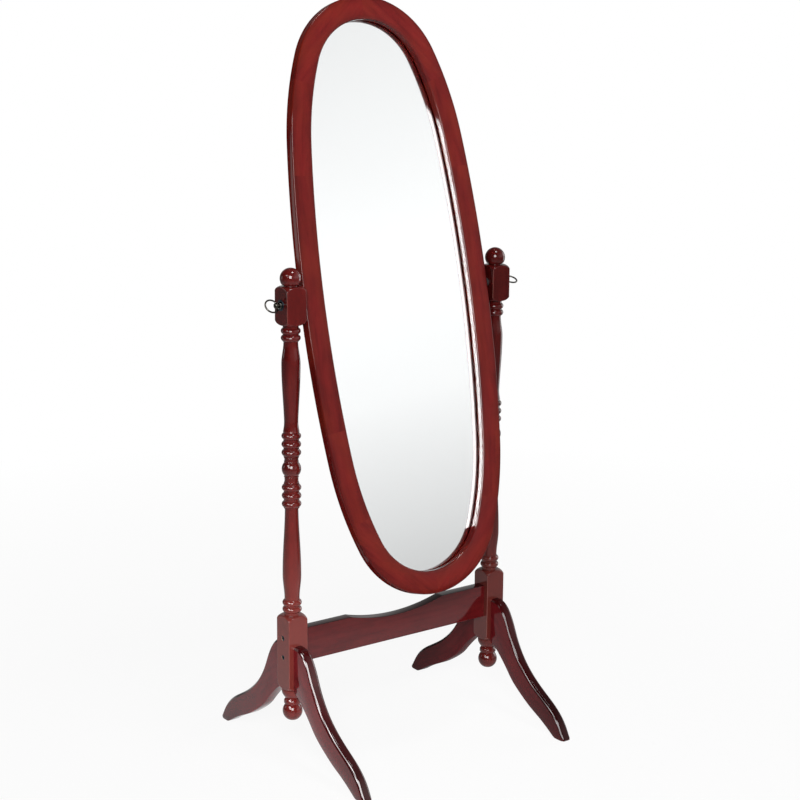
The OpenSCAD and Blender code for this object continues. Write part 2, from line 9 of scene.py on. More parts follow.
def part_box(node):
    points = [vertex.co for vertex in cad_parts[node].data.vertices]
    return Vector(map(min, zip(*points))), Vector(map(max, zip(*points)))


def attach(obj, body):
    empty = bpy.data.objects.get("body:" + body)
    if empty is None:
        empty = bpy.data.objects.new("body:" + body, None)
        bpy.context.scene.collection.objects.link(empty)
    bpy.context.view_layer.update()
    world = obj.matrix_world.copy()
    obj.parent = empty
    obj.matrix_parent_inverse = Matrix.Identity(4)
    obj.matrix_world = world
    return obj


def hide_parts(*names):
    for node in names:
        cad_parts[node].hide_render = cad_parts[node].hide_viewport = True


bl_info = {
    "name": "Oval cheval mirror",
    "version": (1, 0, 0),
    "blender": (4, 5, 0),
    "location": "View3D > Sidebar > Cheval mirror",
    "description": "Dresses the oval floor mirror: lacquered posts, legs, rail and frame, glass and clamps",
    "category": "Object",
}

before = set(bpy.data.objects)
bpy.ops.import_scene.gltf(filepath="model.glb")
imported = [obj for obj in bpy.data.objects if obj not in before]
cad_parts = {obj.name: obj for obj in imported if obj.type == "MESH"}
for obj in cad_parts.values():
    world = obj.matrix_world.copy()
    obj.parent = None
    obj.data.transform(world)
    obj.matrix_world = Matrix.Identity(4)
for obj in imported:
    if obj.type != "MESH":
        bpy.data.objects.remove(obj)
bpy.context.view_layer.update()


# --- where the CAD model puts things (metres) --------------------------------
def low_high(node):
    """A CAD node's low and high corners."""
    low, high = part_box(node)
    return Vector(low), Vector(high)


POST_LOW, POST_HIGH = low_high("left_post")
POST_X = -(POST_LOW.x + POST_HIGH.x) / 2
BLOCK = POST_HIGH.x - POST_LOW.x
RAIL_LOW, RAIL_HIGH = low_high("cross_rail")
LEG_LOW, LEG_HIGH = low_high("rear_right_leg")
WASHER_LOW, WASHER_HIGH = low_high("right_clamp_washer")
PIVOT = Vector((0, 0, (WASHER_LOW.z + WASHER_HIGH.z) / 2))
INNER = POST_X - BLOCK / 2
OUTER = POST_X + BLOCK / 2
MM = 0.001
DOWELS_LOW, DOWELS_HIGH = low_high("left_leg_dowels")
BOLTS_LOW, BOLTS_HIGH = low_high("left_rail_bolts")
NUTS_LOW, NUTS_HIGH = low_high("left_cross_nuts")
# radii of a bolt's shank and of a dowel, which is as thick as a bolt's head and a nut
SHANK_R, DOWEL_R = 3 * MM, 5 * MM
# heights of the two dowels of a leg, and of the two bolts at each end of the rail
DOWELS = (DOWELS_LOW.z + DOWEL_R, DOWELS_HIGH.z - DOWEL_R)
BOLTS = (BOLTS_LOW.z + DOWEL_R, BOLTS_HIGH.z - DOWEL_R)
# depths of a dowel's two bores, which end a little past it
DOWEL_LENGTH, SPARE = 38 * MM, 0.5 * MM
DOWEL_IN_LEG = DOWELS_HIGH.y - BLOCK / 2 + SPARE
DOWEL_IN_POST = DOWEL_LENGTH - (DOWELS_HIGH.y - BLOCK / 2) + SPARE
# radii of the bits, and how far outside the wood each starts
SHANK_BIT, DOWEL_BIT = SHANK_R + 0.03 * MM, DOWEL_R + 0.03 * MM
CLEAR = 2 * MM


# --- sizes and colours a user may change --------------------------------------
class LacquerSettings(bpy.types.PropertyGroup):
    """The wood's stain and lacquer"""
    stain: FloatVectorProperty(
        name="Stain", description="Colour of the red-brown stain under the lacquer",
        subtype="COLOR", size=3, min=0, max=1, default=(0.185, 0.0105, 0.0098))
    dark_streak: FloatVectorProperty(
        name="Dark grain", description="Colour of the darker streaks of the grain",
        subtype="COLOR", size=3, min=0, max=1, default=(0.140, 0.0068, 0.0070))
    gloss: FloatProperty(
        name="Gloss roughness", description="Roughness of the clear lacquer",
        subtype="FACTOR", min=0, max=1, default=0.07)
    arris: FloatProperty(
        name="Softened edge", description="Radius of the sanded edges of blocks and rail",
        subtype="DISTANCE", unit="LENGTH", min=0.0003, max=0.003, default=0.0011)


class MirrorSettings(bpy.types.PropertyGroup):
    """The oval frame and its glass"""
    face_round: FloatProperty(
        name="Frame edge radius", description="Radius of the front edges of the oval frame",
        subtype="DISTANCE", unit="LENGTH", min=0.001, max=0.006, default=0.003)
    tint: FloatVectorProperty(
        name="Silvering", description="Colour that the mirror gives to what it reflects",
        subtype="COLOR", size=3, min=0, max=1, default=(0.92, 0.925, 0.93))


class MetalSettings(bpy.types.PropertyGroup):
    """Screws, thumb rings, washers and bolts"""
    nickel: FloatVectorProperty(
        name="Nickel", description="Colour of the plated screws and thumb rings",
        subtype="COLOR", size=3, min=0, max=1, default=(0.075, 0.070, 0.060))
    blackened: FloatVectorProperty(
        name="Blackened steel", description="Colour of the washers and the rail bolts",
        subtype="COLOR", size=3, min=0, max=1, default=(0.03, 0.045, 0.06))


class StageSettings(bpy.types.PropertyGroup):
    """Floor and light"""
    floor: FloatVectorProperty(
        name="Floor", description="Colour of the floor under the mirror",
        subtype="COLOR", size=3, min=0, max=1, default=(0.86, 0.86, 0.86))
    key: FloatProperty(
        name="Key light", description="Power of the softbox at the front",
        unit="POWER", min=0, max=500, default=290)


# --- node helpers ---------------------------------------------------------------
def new_material(name):
    material = bpy.data.materials.new(name)
    material.use_nodes = True
    tree = material.node_tree
    return material, tree, tree.nodes["Principled BSDF"]


def node(tree, kind, **settings):
    """A node with its inputs and options set by name."""
    made = tree.nodes.new(kind)
    for key, value in settings.items():
        if key in made.inputs:
            made.inputs[key].default_value = value
        else:
            setattr(made, key, value)
    return made


def put(target, values):
    """Sets a node's inputs, as {input: value}."""
    for socket, value in values.items():
        target.inputs[socket].default_value = value


def wire(tree, target, sources):
    """Links a node's inputs, as {input: another node's output}."""
    for socket, source in sources.items():
        tree.links.new(source, target.inputs[socket])
    return target


def ramp(tree, source, stops):
    """Colour that follows a source from 0 to 1; stops are (place, colour)."""
    made = tree.nodes.new("ShaderNodeValToRGB")
    points = made.color_ramp.elements
    while len(points) < len(stops):
        points.new(0.5)
    for point, (place, colour) in zip(points, stops):
        point.position = place
        point.color = (*colour, 1)
    return wire(tree, made, {"Fac": source}).outputs["Color"]


def number_ramp(tree, source, stops):
    return ramp(tree, source, [(place, (value, value, value)) for place, value in stops])


def calculated(tree, operation, *parts):
    """A number worked out from outputs and plain numbers."""
    made = node(tree, "ShaderNodeMath", operation=operation)
    for socket, part in zip(made.inputs, parts):
        if isinstance(part, float):
            socket.default_value = part
        else:
            tree.links.new(part, socket)
    return made.outputs[0]


def axes(tree, vector):
    """The X, Y and Z of a vector."""
    return wire(tree, tree.nodes.new("ShaderNodeSeparateXYZ"), {0: vector}).outputs


def tinted(tree, colour, tone, factor=1.0):
    """Colour multiplied by a grey tone."""
    mixed = node(tree, "ShaderNodeMix", data_type="RGBA", blend_type="MULTIPLY")
    put(mixed, {"Factor": factor})
    return wire(tree, mixed, {"A": colour, "B": tone}).outputs["Result"]


def blended(tree, factor, colour, plain):
    """Colour that gives way to a plain one where the factor is high."""
    mixed = node(tree, "ShaderNodeMix", data_type="RGBA")
    put(mixed, {"B": (*plain, 1)})
    return wire(tree, mixed, {"Factor": factor, "A": colour}).outputs["Result"]


def own_place(tree):
    """Where a point lies on the piece itself."""
    return tree.nodes.new("ShaderNodeTexCoord").outputs["Object"]


def noise(tree, place, **settings):
    return wire(tree, node(tree, "ShaderNodeTexNoise", **settings), {"Vector": place}).outputs["Fac"]


def bumped(tree, height, strength, distance):
    bump = node(tree, "ShaderNodeBump", Strength=strength, Distance=distance)
    return wire(tree, bump, {"Height": height}).outputs["Normal"]


def along_grain(tree, scale=(1, 1, 1), offset=(0, 0, 0)):
    """The piece's own grain coordinates, stretched."""
    place = node(tree, "ShaderNodeUVMap", uv_map="grain")
    stretch = node(tree, "ShaderNodeMapping", Scale=scale, Location=offset)
    return wire(tree, stretch, {"Vector": place.outputs["UV"]}).outputs["Vector"]


def across_moulding(tree):
    """X runs over the frame's face from its outer edge to its inner one, Y from the front to the back."""
    return axes(tree, node(tree, "ShaderNodeUVMap", uv_map="across").outputs["UV"])


# the legs and the rail took the stain a little cooler
COOLER = {"Leg": 1.5, "Rail": 1.3}


def stained_grain(tree, kind, tone, settings):
    """Streaks, pores and clouds of the stain; tone is its strength and also moves the streaks about."""
    streaks = noise(tree, along_grain(tree, (7.0, 85.0, 1), (tone * 37.0, tone * 11.0, 0)),
                    Scale=1.0, Detail=5.0, Roughness=0.55, Distortion=0.25)
    pores = noise(tree, along_grain(tree, (70.0, 900.0, 1)), Scale=1.0, Detail=3.0, Roughness=0.6)
    clouds = noise(tree, along_grain(tree, (16.0, 38.0, 1), (tone * 5.0, 2.0, 0)),
                   Scale=1.0, Detail=3.0, Roughness=0.55)
    strength = (tone, tone, tone * COOLER.get(kind, 1.0))
    light = [part * share for part, share in zip(settings.stain, strength)]
    dark = [part * share for part, share in zip(settings.dark_streak, strength)]
    warm = [min(1, part * share) for part, share in zip(light, (1.14, 1.45, 1.25))]
    colour = ramp(tree, streaks, [(0.30, dark), (0.47, light), (0.72, warm)])
    colour = tinted(tree, colour, number_ramp(tree, pores, [(0.36, 0.70), (0.50, 1.0)]), 0.45)
    return tinted(tree, colour, number_ramp(tree, clouds, [(0.30, 0.80), (0.70, 1.12)]), 0.9)


def post_stain_and_painted_light(tree, colour, tone):
    """The posts' stain, with painted light and shade: painted light makes it paler and redder towards the
    floor, painted shade darkens it higher up and on two sides, and a painted highlight lightens the sanded
    arrises.
    """
    facing = axes(tree, tree.nodes.new("ShaderNodeTexCoord").outputs["Normal"])
    sideways = calculated(tree, "ABSOLUTE", facing["X"])
    ahead = calculated(tree, "ABSOLUTE", facing["Y"])
    height = axes(tree, along_grain(tree))["X"]
    # painted shade: the stain grows darker up the post
    colour = tinted(tree, colour, number_ramp(tree, height, [(0.34, 0.92), (0.62, 0.52)]))
    # painted shade: the two side faces, turned along X, are darker
    colour = tinted(tree, colour, number_ramp(tree, sideways, [(0.70, 1.0), (0.95, 0.58)]))
    # painted light: a paler, redder colour low down, strongest on the lower block
    painted_floor_light = number_ramp(tree, height, [(0.13, 0.22), (0.165, 0.74), (0.30, 0.74), (0.36, 0.42),
                                      (0.50, 0.16), (0.75, 0.02)])
    colour = blended(tree, painted_floor_light, colour, (0.205 * tone, 0.040 * tone, 0.032 * tone))
    # painted highlight: a paler colour on the sanded arrises, kept off the flat faces
    sharpness = tree.nodes.new("ShaderNodeNewGeometry").outputs["Pointiness"]
    arris = number_ramp(tree, sharpness, [(0.53, 0.0), (0.62, 0.45)])
    off_flat = number_ramp(tree, calculated(tree, "MAXIMUM", sideways, ahead), [(0.93, 1.0), (0.985, 0.0)])
    return blended(tree, tinted(tree, arris, off_flat), colour, (0.42, 0.19, 0.16))


def frame_stain(tree, colour, tone):
    """The frame's stain: darker along both edges of the moulding, with more orange patches."""
    edges = number_ramp(tree, across_moulding(tree)["X"], [(0.02, 0.62), (0.20, 0.94), (0.45, 1.10),
                                                           (0.80, 0.96), (0.98, 0.66)])
    glow = noise(tree, along_grain(tree, (9.0, 22.0, 1), (tone * 19.0, 5.0, 0)),
                 Scale=1.0, Detail=2.0, Roughness=0.5)
    patch = number_ramp(tree, glow, [(0.42, 0.0), (0.70, 0.36)])
    return blended(tree, patch, tinted(tree, colour, edges), (0.27 * tone, 0.028 * tone, 0.011 * tone))


def leg_and_rail_painted_shade(tree, colour, kind):
    """The legs' and the rail's stain under painted shade: painted darkest on top, and on a leg also painted
    darker towards the toe.
    """
    upward = axes(tree, tree.nodes.new("ShaderNodeTexCoord").outputs["Normal"])["Z"]
    # painted shade: the up-facing surfaces are darker
    colour = tinted(tree, colour, number_ramp(tree, upward, [(0.04, 1.0), (0.28, 0.40), (0.60, 0.30)]))
    if kind == "Leg":
        # painted shade: a leg grows darker towards its toe
        outward = calculated(tree, "ABSOLUTE", axes(tree, own_place(tree))["Y"])
        colour = tinted(tree, colour, number_ramp(tree, outward, [(0.10, 1.0), (0.23, 0.62)]))
    return colour


def frame_coat(tree, coat):
    """The face is rubbed to a softer sheen than the inner edge; none gets into the corner at the glass."""
    across = across_moulding(tree)
    face, inner = coat * 0.5, 1.0
    sheen = number_ramp(tree, across["X"], [(0.0, 0.45), (0.10, face), (0.91, face), (0.985, inner)])
    return tinted(tree, sheen, number_ramp(tree, across["Y"], [(0.58, 1.0), (0.63, 0.05)]))


def lacquered_wood(name, kind, tone, coat, settings):
    """Red-brown stained wood under clear gloss lacquer; the grain runs along the piece's own U."""
    material, tree, shader = new_material(name)
    colour = stained_grain(tree, kind, tone, settings)
    if kind == "Post":
        colour = post_stain_and_painted_light(tree, colour, tone)
    elif kind == "Frame":
        colour = frame_stain(tree, colour, tone)
    else:
        colour = leg_and_rail_painted_shade(tree, colour, kind)
    put(shader, {"Roughness": 0.45, "Specular IOR Level": 0.0, "Coat Roughness": settings.gloss,
                 "Coat IOR": 1.5})
    if kind == "Frame":
        wire(tree, shader, {"Coat Weight": frame_coat(tree, coat)})
    else:
        put(shader, {"Coat Weight": coat})
    # the lacquer lies almost flat over the grain, and flattest on the legs
    ripple = noise(tree, along_grain(tree, (40.0, 90.0, 1)), Scale=1.0, Detail=1.0)
    lacquer = bumped(tree, ripple, 0.015 if kind == "Leg" else 0.04, 0.0006)
    wire(tree, shader, {"Base Color": colour, "Coat Normal": lacquer})
    return material


def plain_wood(name, light, dark, scale):
    """Unfinished wood, seen only where pieces are taken apart."""
    material, tree, shader = new_material(name)
    stretch = wire(tree, node(tree, "ShaderNodeMapping", Scale=scale), {"Vector": own_place(tree)})
    grain = noise(tree, stretch.outputs["Vector"], Scale=1.0, Detail=5.0, Roughness=0.6)
    wire(tree, shader, {"Base Color": ramp(tree, grain, [(0.3, dark), (0.7, light)]),
                        "Normal": bumped(tree, grain, 0.2, 0.0004)})
    put(shader, {"Roughness": 0.7})
    return material


def back_board_material():
    """Brown hardboard: smooth, mottled with small fibres."""
    material, tree, shader = new_material("Brown hardboard")
    fibres = noise(tree, own_place(tree), Scale=420.0, Detail=4.0, Roughness=0.7)
    mottle = noise(tree, own_place(tree), Scale=9.0, Detail=3.0, Roughness=0.55)
    colour = ramp(tree, fibres, [(0.30, (0.13, 0.070, 0.034)), (0.55, (0.235, 0.135, 0.066)),
                                 (0.75, (0.33, 0.205, 0.11))])
    colour = tinted(tree, colour, number_ramp(tree, mottle, [(0.3, 0.86), (0.7, 1.06)]))
    wire(tree, shader, {"Base Color": colour, "Normal": bumped(tree, fibres, 0.15, 0.0002)})
    put(shader, {"Roughness": 0.55})
    return material


def metal(name, colour, roughness, wear, metallic=1.0):
    """Metal whose roughness and tone vary a little with handling marks."""
    material, tree, shader = new_material(name)
    smudges = noise(tree, own_place(tree), Scale=160.0, Detail=4.0, Roughness=0.65)
    rough = number_ramp(tree, smudges, [(0.35, roughness * (1 - wear)), (0.7, roughness * (1 + wear))])
    dull = [part * (1 - wear * 0.4) for part in colour]
    tone = ramp(tree, smudges, [(0.25, dull), (0.65, colour)])
    wire(tree, shader, {"Roughness": rough, "Base Color": tone})
    put(shader, {"Metallic": metallic})
    return material


def silvered_glass(settings):
    """The silvering behind the pane, with the faintest unevenness."""
    material, tree, shader = new_material("Silvered glass")
    haze = noise(tree, own_place(tree), Scale=2.2, Detail=2.0)
    dull = [part * 0.985 for part in settings.tint]
    wire(tree, shader, {"Base Color": ramp(tree, haze, [(0.3, dull), (0.7, settings.tint)])})
    put(shader, {"Metallic": 1.0, "Roughness": 0.012})
    return material


def clear_glass():
    """The pane's clear front, with the faintest film of dust."""
    material, tree, shader = new_material("Clear glass")
    film = noise(tree, own_place(tree), Scale=14.0, Detail=3.0)
    wire(tree, shader, {"Roughness": number_ramp(tree, film, [(0.4, 0.0), (0.8, 0.012)])})
    put(shader, {"Base Color": (0.98, 0.99, 0.985, 1), "Transmission Weight": 1.0, "IOR": 1.5})
    return material


def glass_edge():
    """The pane's greenish dark cut edge."""
    material, tree, shader = new_material("Glass edge")
    chips = noise(tree, own_place(tree), Scale=300.0, Detail=2.0)
    green = ramp(tree, chips, [(0.3, (0.05, 0.10, 0.08)), (0.7, (0.12, 0.20, 0.17))])
    wire(tree, shader, {"Base Color": green})
    put(shader, {"Roughness": 0.25})
    return material


# --- mesh helpers ----------------------------------------------------------------
def finish_mesh(name, verts, faces, uvs, materials, sharp_deg=35, face_material=None):
    """Makes an object of verts and faces, with a UV per face corner, and sharp edges past an angle."""
    mesh = bpy.data.meshes.new(name)
    mesh.from_pydata([tuple(v) for v in verts], [], faces)
    layer = mesh.uv_layers.new(name="grain")
    for polygon, corners in zip(mesh.polygons, uvs):
        for loop, uv in zip(polygon.loop_indices, corners):
            layer.data[loop].uv = uv
    for polygon in mesh.polygons:
        polygon.use_smooth = True
    if face_material:
        for polygon, index in zip(mesh.polygons, face_material):
            polygon.material_index = index
    work = bmesh.new()
    work.from_mesh(mesh)
    bmesh.ops.recalc_face_normals(work, faces=work.faces)
    limit = math.radians(sharp_deg)
    for edge in work.edges:
        if len(edge.link_faces) == 2:
            edge.smooth = edge.calc_face_angle(0) < limit
    work.to_mesh(mesh)
    work.free()
    thing = bpy.data.objects.new(name, mesh)
    bpy.context.scene.collection.objects.link(thing)
    for material in materials:
        mesh.materials.append(material)
    return thing


def skin(rings, uv_rings, closed_ends=True):
    """Faces and UVs for a stack of equal rings of points."""
    n = len(rings[0])
    verts = [p for ring in rings for p in ring]
    faces, uvs = [], []
    for i in range(len(rings) - 1):
        for j in range(n):
            k = (j + 1) % n
            faces.append((i * n + j, i * n + k, (i + 1) * n + k, (i + 1) * n + j))
            uvs.append((uv_rings[i][j], uv_rings[i][j + 1], uv_rings[i + 1][j + 1], uv_rings[i + 1][j]))
    if closed_ends:
        for start, ring, row in ((0, rings[0], uv_rings[0]), (len(verts) - n, rings[-1], uv_rings[-1])):
            faces.append(tuple(start + j for j in range(n)))
            uvs.append(tuple((row[j][0] + 0.02 * ring[j][0], row[j][1]) for j in range(n)))
    return verts, faces, uvs


def weld(thing):
    """Joins the last ring of a closed shape to its first."""
    work = bmesh.new()
    work.from_mesh(thing.data)
    bmesh.ops.remove_doubles(work, verts=work.verts, dist=1e-6)
    bmesh.ops.recalc_face_normals(work, faces=work.faces)
    work.to_mesh(thing.data)
    work.free()


def simplify(points, tolerance):
    """Drops the points of a profile that lie within tolerance of the line between their neighbours."""
    stack = [(0, len(points) - 1)]
    kept = {0, len(points) - 1}
    while stack:
        a, b = stack.pop()
        if b <= a + 1:
            continue
        (r0, z0), (r1, z1) = points[a], points[b]
        length = math.hypot(r1 - r0, z1 - z0) or 1e-9
        gaps = [abs((z1 - z0) * (r - r0) - (r1 - r0) * (z - z0)) / length for r, z in points[a + 1:b]]
        if max(gaps) > tolerance:
            where = a + 1 + gaps.index(max(gaps))
            kept.add(where)
            stack += [(a, where), (where, b)]
    return [points[i] for i in sorted(kept)]


# --- posts -----------------------------------------------------------------------
def circle_at(z, centre_r, centre_z, radius):
    """Outer radius of a turned bead at height z, or -1 above and below it."""
    d = radius * radius - (z - centre_z) ** 2
    return centre_r + math.sqrt(d) if d >= 0 else -1


def between(z, points):
    """Radius at z on the straight lines between points of (height, radius), or -1 past their ends."""
    for (z0, r0), (z1, r1) in zip(points, points[1:]):
        if z0 <= z <= z1:
            return r0 + (r1 - r0) * (z - z0) / (z1 - z0)
    return -1


class PostShape:
    """The turned outline of a post in millimetres, as the CAD model has it."""
    half_block = BLOCK / MM / 2
    corner = half_block * math.sqrt(2)
    block_low, block_top = 162.0, 299.5
    head_middle, head_half = PIVOT.z / MM - 2.5, 29.75
    head_low, head_top = head_middle - head_half, head_middle + head_half
    shoulder, base_rise, dome_top = 8.6, 10.6, 17
    bead, bead_round, groove, neck = 19.5, 6.6, 15.6, 13.9
    pair, triple, collar, ball, ball_r = 13.9, 16.9, 4.5, 27.0, 19.3
    lower_neck_length, upper_neck_length = 15.9, 11.3
    finial_r, cove, cove_lift = 21.0, 2.6, 0.6
    drop_r, drop_flat, drop_collar, drop_neck, cup_r, cup_lip = 20.4, 11, 17.6, 27.5, 22.0, 5
    drop_hang, drop_cap = 59.7, 17
    fillet, fillet_rise, swell, lower_share = 1.1, 1.0, 18.8, 0.512
    start = block_top + shoulder
    end = head_low - shoulder
    vases = end - start - 2 * collar - 4 * pair - 6 * triple - ball - lower_neck_length - upper_neck_length
    lower_pair = start + collar
    lower_vase = lower_pair + 2 * pair
    lower_triple = lower_vase + vases * lower_share
    lower_neck = lower_triple + 3 * triple
    ball_start = lower_neck + lower_neck_length
    upper_neck = ball_start + ball
    upper_triple = upper_neck + upper_neck_length
    upper_vase = upper_triple + 3 * triple
    upper_pair = end - collar - 2 * pair
    finial_start = head_top + shoulder
    finial_z = finial_start + 0.7 * finial_r
    top = finial_z + finial_r
    drop_z = block_low - drop_hang
    bottom = drop_z - math.sqrt(drop_r ** 2 - drop_flat ** 2)
    cup_top = block_low - base_rise

    @classmethod
    def turned(cls, z):
        """Radius of the turning at height z, without the square blocks' flats."""
        return max(0.0, cls.foot(z), cls.blocks(z), cls.beads(z), cls.middle(z), cls.vase(z), cls.finial(z))

    @classmethod
    def foot(cls, z):
        """The flattened ball under the lower block, its neck and collar, and the cup above them."""
        up, below = z - cls.drop_z, z - cls.cup_top
        if up > cls.drop_neck and below <= -cls.cup_lip:
            share = (up - cls.drop_neck) / (cls.cup_top - cls.cup_lip - cls.drop_z - cls.drop_neck)
            return cls.neck + (cls.cup_r - cls.neck) * math.sin(math.pi / 2 * share)
        ball = -1
        if cls.bottom <= z <= cls.drop_z + cls.drop_cap:
            ball = circle_at(z, 0, cls.drop_z, cls.drop_r)
        neck = between(up, ((0, 0), (13, cls.neck), (16, cls.neck), (16.5, cls.drop_collar - 1),
                            (18, cls.drop_collar), (23.5, cls.drop_collar - 0.3), (26.9, cls.neck + 0.6),
                            (cls.drop_neck, cls.neck)))
        lip = between(below, ((-cls.cup_lip, cls.cup_r), (-1.6, cls.cup_r - 0.3), (-1.2, cls.cup_r - 1.4),
                              (1, cls.cup_r - 1.4)))
        return max(ball, neck, lip)

    @classmethod
    def blocks(cls, z):
        """The blocks, turned wider than their corners, with domed shoulders above and below."""
        for low, top, rise in ((cls.block_low, cls.block_top, cls.base_rise),
                               (cls.head_low, cls.head_top, cls.shoulder)):
            if low - rise <= z < low:
                return cls.dome(low - z, rise)
            if low <= z <= top:
                return cls.corner + 2
            if top < z <= top + cls.shoulder:
                return cls.dome(z - top, cls.shoulder)
        return -1

    @classmethod
    def dome(cls, above, rise):
        """Radius of a domed shoulder at a height above the block's corners."""
        width = cls.corner - cls.dome_top
        big = (width * width + rise * rise) / (2 * rise)
        return cls.dome_top + math.sqrt(max(0.0, big * big - (big - (rise - above)) ** 2))

    @classmethod
    def beads(cls, z):
        """Two pairs and two threes of beads, with grooves between them."""
        r = -1
        if cls.start <= z <= cls.start + cls.collar or cls.end - cls.collar <= z <= cls.end:
            r = cls.groove
        for z0, pitch, count in ((cls.lower_pair, cls.pair, 2), (cls.lower_triple, cls.triple, 3),
                                 (cls.upper_triple, cls.triple, 3), (cls.upper_pair, cls.pair, 2)):
            if z0 <= z <= z0 + pitch * count:
                r = max(r, cls.groove)
            for i in range(count):
                r = max(r, circle_at(z, cls.bead - cls.bead_round, z0 + (i + 0.5) * pitch, cls.bead_round))
        return r

    @classmethod
    def middle(cls, z):
        """The ball at the middle, its two necks and their four fillets."""
        if not cls.lower_neck <= z <= cls.upper_triple:
            return -1
        r = max(cls.neck, circle_at(z, 0, cls.ball_start + cls.ball / 2, cls.ball_r))
        for place in (cls.lower_neck + 2.2, cls.ball_start - 2.2,
                      cls.upper_neck + 2.0, cls.upper_triple - 2.0):
            if abs(z - place) < cls.fillet:
                r = max(r, cls.neck + cls.fillet_rise * math.sqrt(1 - ((z - place) / cls.fillet) ** 2))
        return r

    @classmethod
    def vase(cls, z):
        """The two long swellings; peak is the share of the length at which one is widest."""
        for low, high, peak, foot, top, flare in (
                (cls.lower_vase, cls.lower_triple, 0.27, 15.2, 13.5, 0),
                (cls.upper_vase, cls.upper_pair, 0.75, 13.6, 14.4, 2.8)):
            if low <= z <= high:
                t = (z - low) / (high - low)
                narrow = foot + (top - foot) * t
                rise = t / peak if t < peak else 1 + (t - peak) / (1 - peak)
                spread = max(0.0, 1 - t / 0.13)
                return (narrow + (cls.swell - narrow) * (1 - math.cos(math.pi * rise)) / 2
                        + flare * spread * spread)
        return -1

    @classmethod
    def finial(cls, z):
        """The ball on top, with a small cove under it."""
        if z < cls.finial_start:
            return -1
        ball = circle_at(z, 0, cls.finial_z, cls.finial_r)
        off = abs(z - cls.finial_start - cls.cove_lift)
        if off < cls.cove:
            ball = min(ball, cls.neck - 0.3 + cls.cove - math.sqrt(cls.cove ** 2 - off * off))
        return ball


def post_heights(shape):
    """Heights of a post's rings: close where the outline bends, and on the shoulders that the flats cut."""
    pitch, near, shoulder_rings, tolerance = 0.25, 0.02, 16, 0.018
    count = math.ceil((shape.top - shape.bottom) / pitch)
    levels = {round(shape.bottom + pitch * i, 3) for i in range(count)}
    for edge in (shape.block_low, shape.block_top, shape.head_low, shape.head_top):
        levels |= {round(edge - near, 3), round(edge + near, 3)}
    levels.add(round(shape.top - near, 3))
    profile = simplify([(shape.turned(z), z) for z in sorted(levels)], tolerance)
    heights = {z for _, z in profile}
    for low, high in ((shape.cup_top, shape.block_low), (shape.block_top, shape.start),
                      (shape.end, shape.head_low), (shape.head_top, shape.finial_start)):
        heights |= {round(low + (high - low) * (i + 0.5) / shoulder_rings, 3) for i in range(shoulder_rings)}
    return sorted(heights)


def rounded_square(angle, half, arris):
    """Distance from a square's middle to its side in this direction, with rounded corners."""
    a = abs(math.radians((angle + 45) % 90 - 45))
    across, up = math.cos(a), math.sin(a)
    inner = half - arris
    b = (across + up) * inner
    disc = b * b - (2 * inner * inner - arris * arris)
    if disc >= 0 and (b + math.sqrt(disc)) * up > inner:
        return b + math.sqrt(disc)
    return half / across


def post_piece(name, side, materials, arris):
    """A post: its turning, cut by the flats of the square blocks."""
    shape = PostShape
    blend = 1.7
    angles = sorted({round(i * 360 / 96, 4) for i in range(96)}
                    | {round((45 + q * 90 + d) % 360, 4) for q in range(4)
                       for d in (-5.5, -3, -2.2, -1.5, -0.9, -0.4, 0.4, 0.9, 1.5, 2.2, 3, 5.5)})
    flats = [rounded_square(angle, shape.half_block, arris / MM) for angle in angles]
    rings, uv_rings = [], []
    for z in post_heights(shape):
        r = shape.turned(z)
        ring, uvs = [], []
        for angle, flat in zip(angles, flats):
            out, a = r, math.radians(angle)
            if r > shape.half_block - 1.5:
                # the shoulder runs softly into the flat
                near = max(blend - abs(r - flat), 0.0) / blend
                out = min(r, flat) - near * near * blend / 4
            ring.append(Vector((side * POST_X + out * MM * math.cos(a), out * MM * math.sin(a), z * MM)))
            uvs.append((z * MM, out * MM * math.cos(a - 0.4) * 0.9 + 0.07 * side))
        rings.append(ring)
        uv_rings.append(uvs + uvs[:1])
    return finish_mesh(name, *skin(rings, uv_rings), materials, sharp_deg=32)


# --- legs ------------------------------------------------------------------------
def outline(shares, height, span):
    """Points of a leg's edge from shares of its span and height."""
    return [(BLOCK / 2 + a * span, b * height) for a, b in shares]


def smooth_curve(points, steps):
    """Catmull-Rom curve through points, as the CAD model draws it."""
    n = len(points) - 1
    result = []
    for i in range(n * steps + 1):
        k = min(i // steps, n - 1)
        t = i / steps - k
        b, c = Vector(points[k]), Vector(points[k + 1])
        a = Vector(points[k - 1]) if k > 0 else 2 * b - c
        d = Vector(points[k + 2]) if k < n - 1 else 2 * c - b
        result.append(0.5 * ((2 * b) + (c - a) * t + (2 * a - 5 * b + 4 * c - d) * t * t
                             + (3 * b - a - 3 * c + d) * t * t * t))
    return result


def evened(points, times):
    """Rubs small waves out of a curve; its ends stay."""
    for _ in range(times):
        inner = [(a + 2 * b + c) / 4 for a, b, c in zip(points, points[1:], points[2:])]
        points = [points[0]] + inner + [points[-1]]
    return points


# a leg's upper and lower edges, as shares of its span and of its height at the post
UPPER = [(0, 1), (0.08, 0.994), (0.15, 0.937), (0.211, 0.84), (0.269, 0.716), (0.343, 0.601), (0.433, 0.498),
         (0.552, 0.401), (0.676, 0.325), (0.791, 0.259), (0.877, 0.192), (0.926, 0.134), (0.963, 0.074)]
LOWER = [(0, 1), (0.035, 0.967), (0.08, 0.917), (0.125, 0.854), (0.175, 0.778), (0.232, 0.682), (0.302, 0.56),
         (0.396, 0.444), (0.544, 0.295), (0.688, 0.185), (0.803, 0.08)]


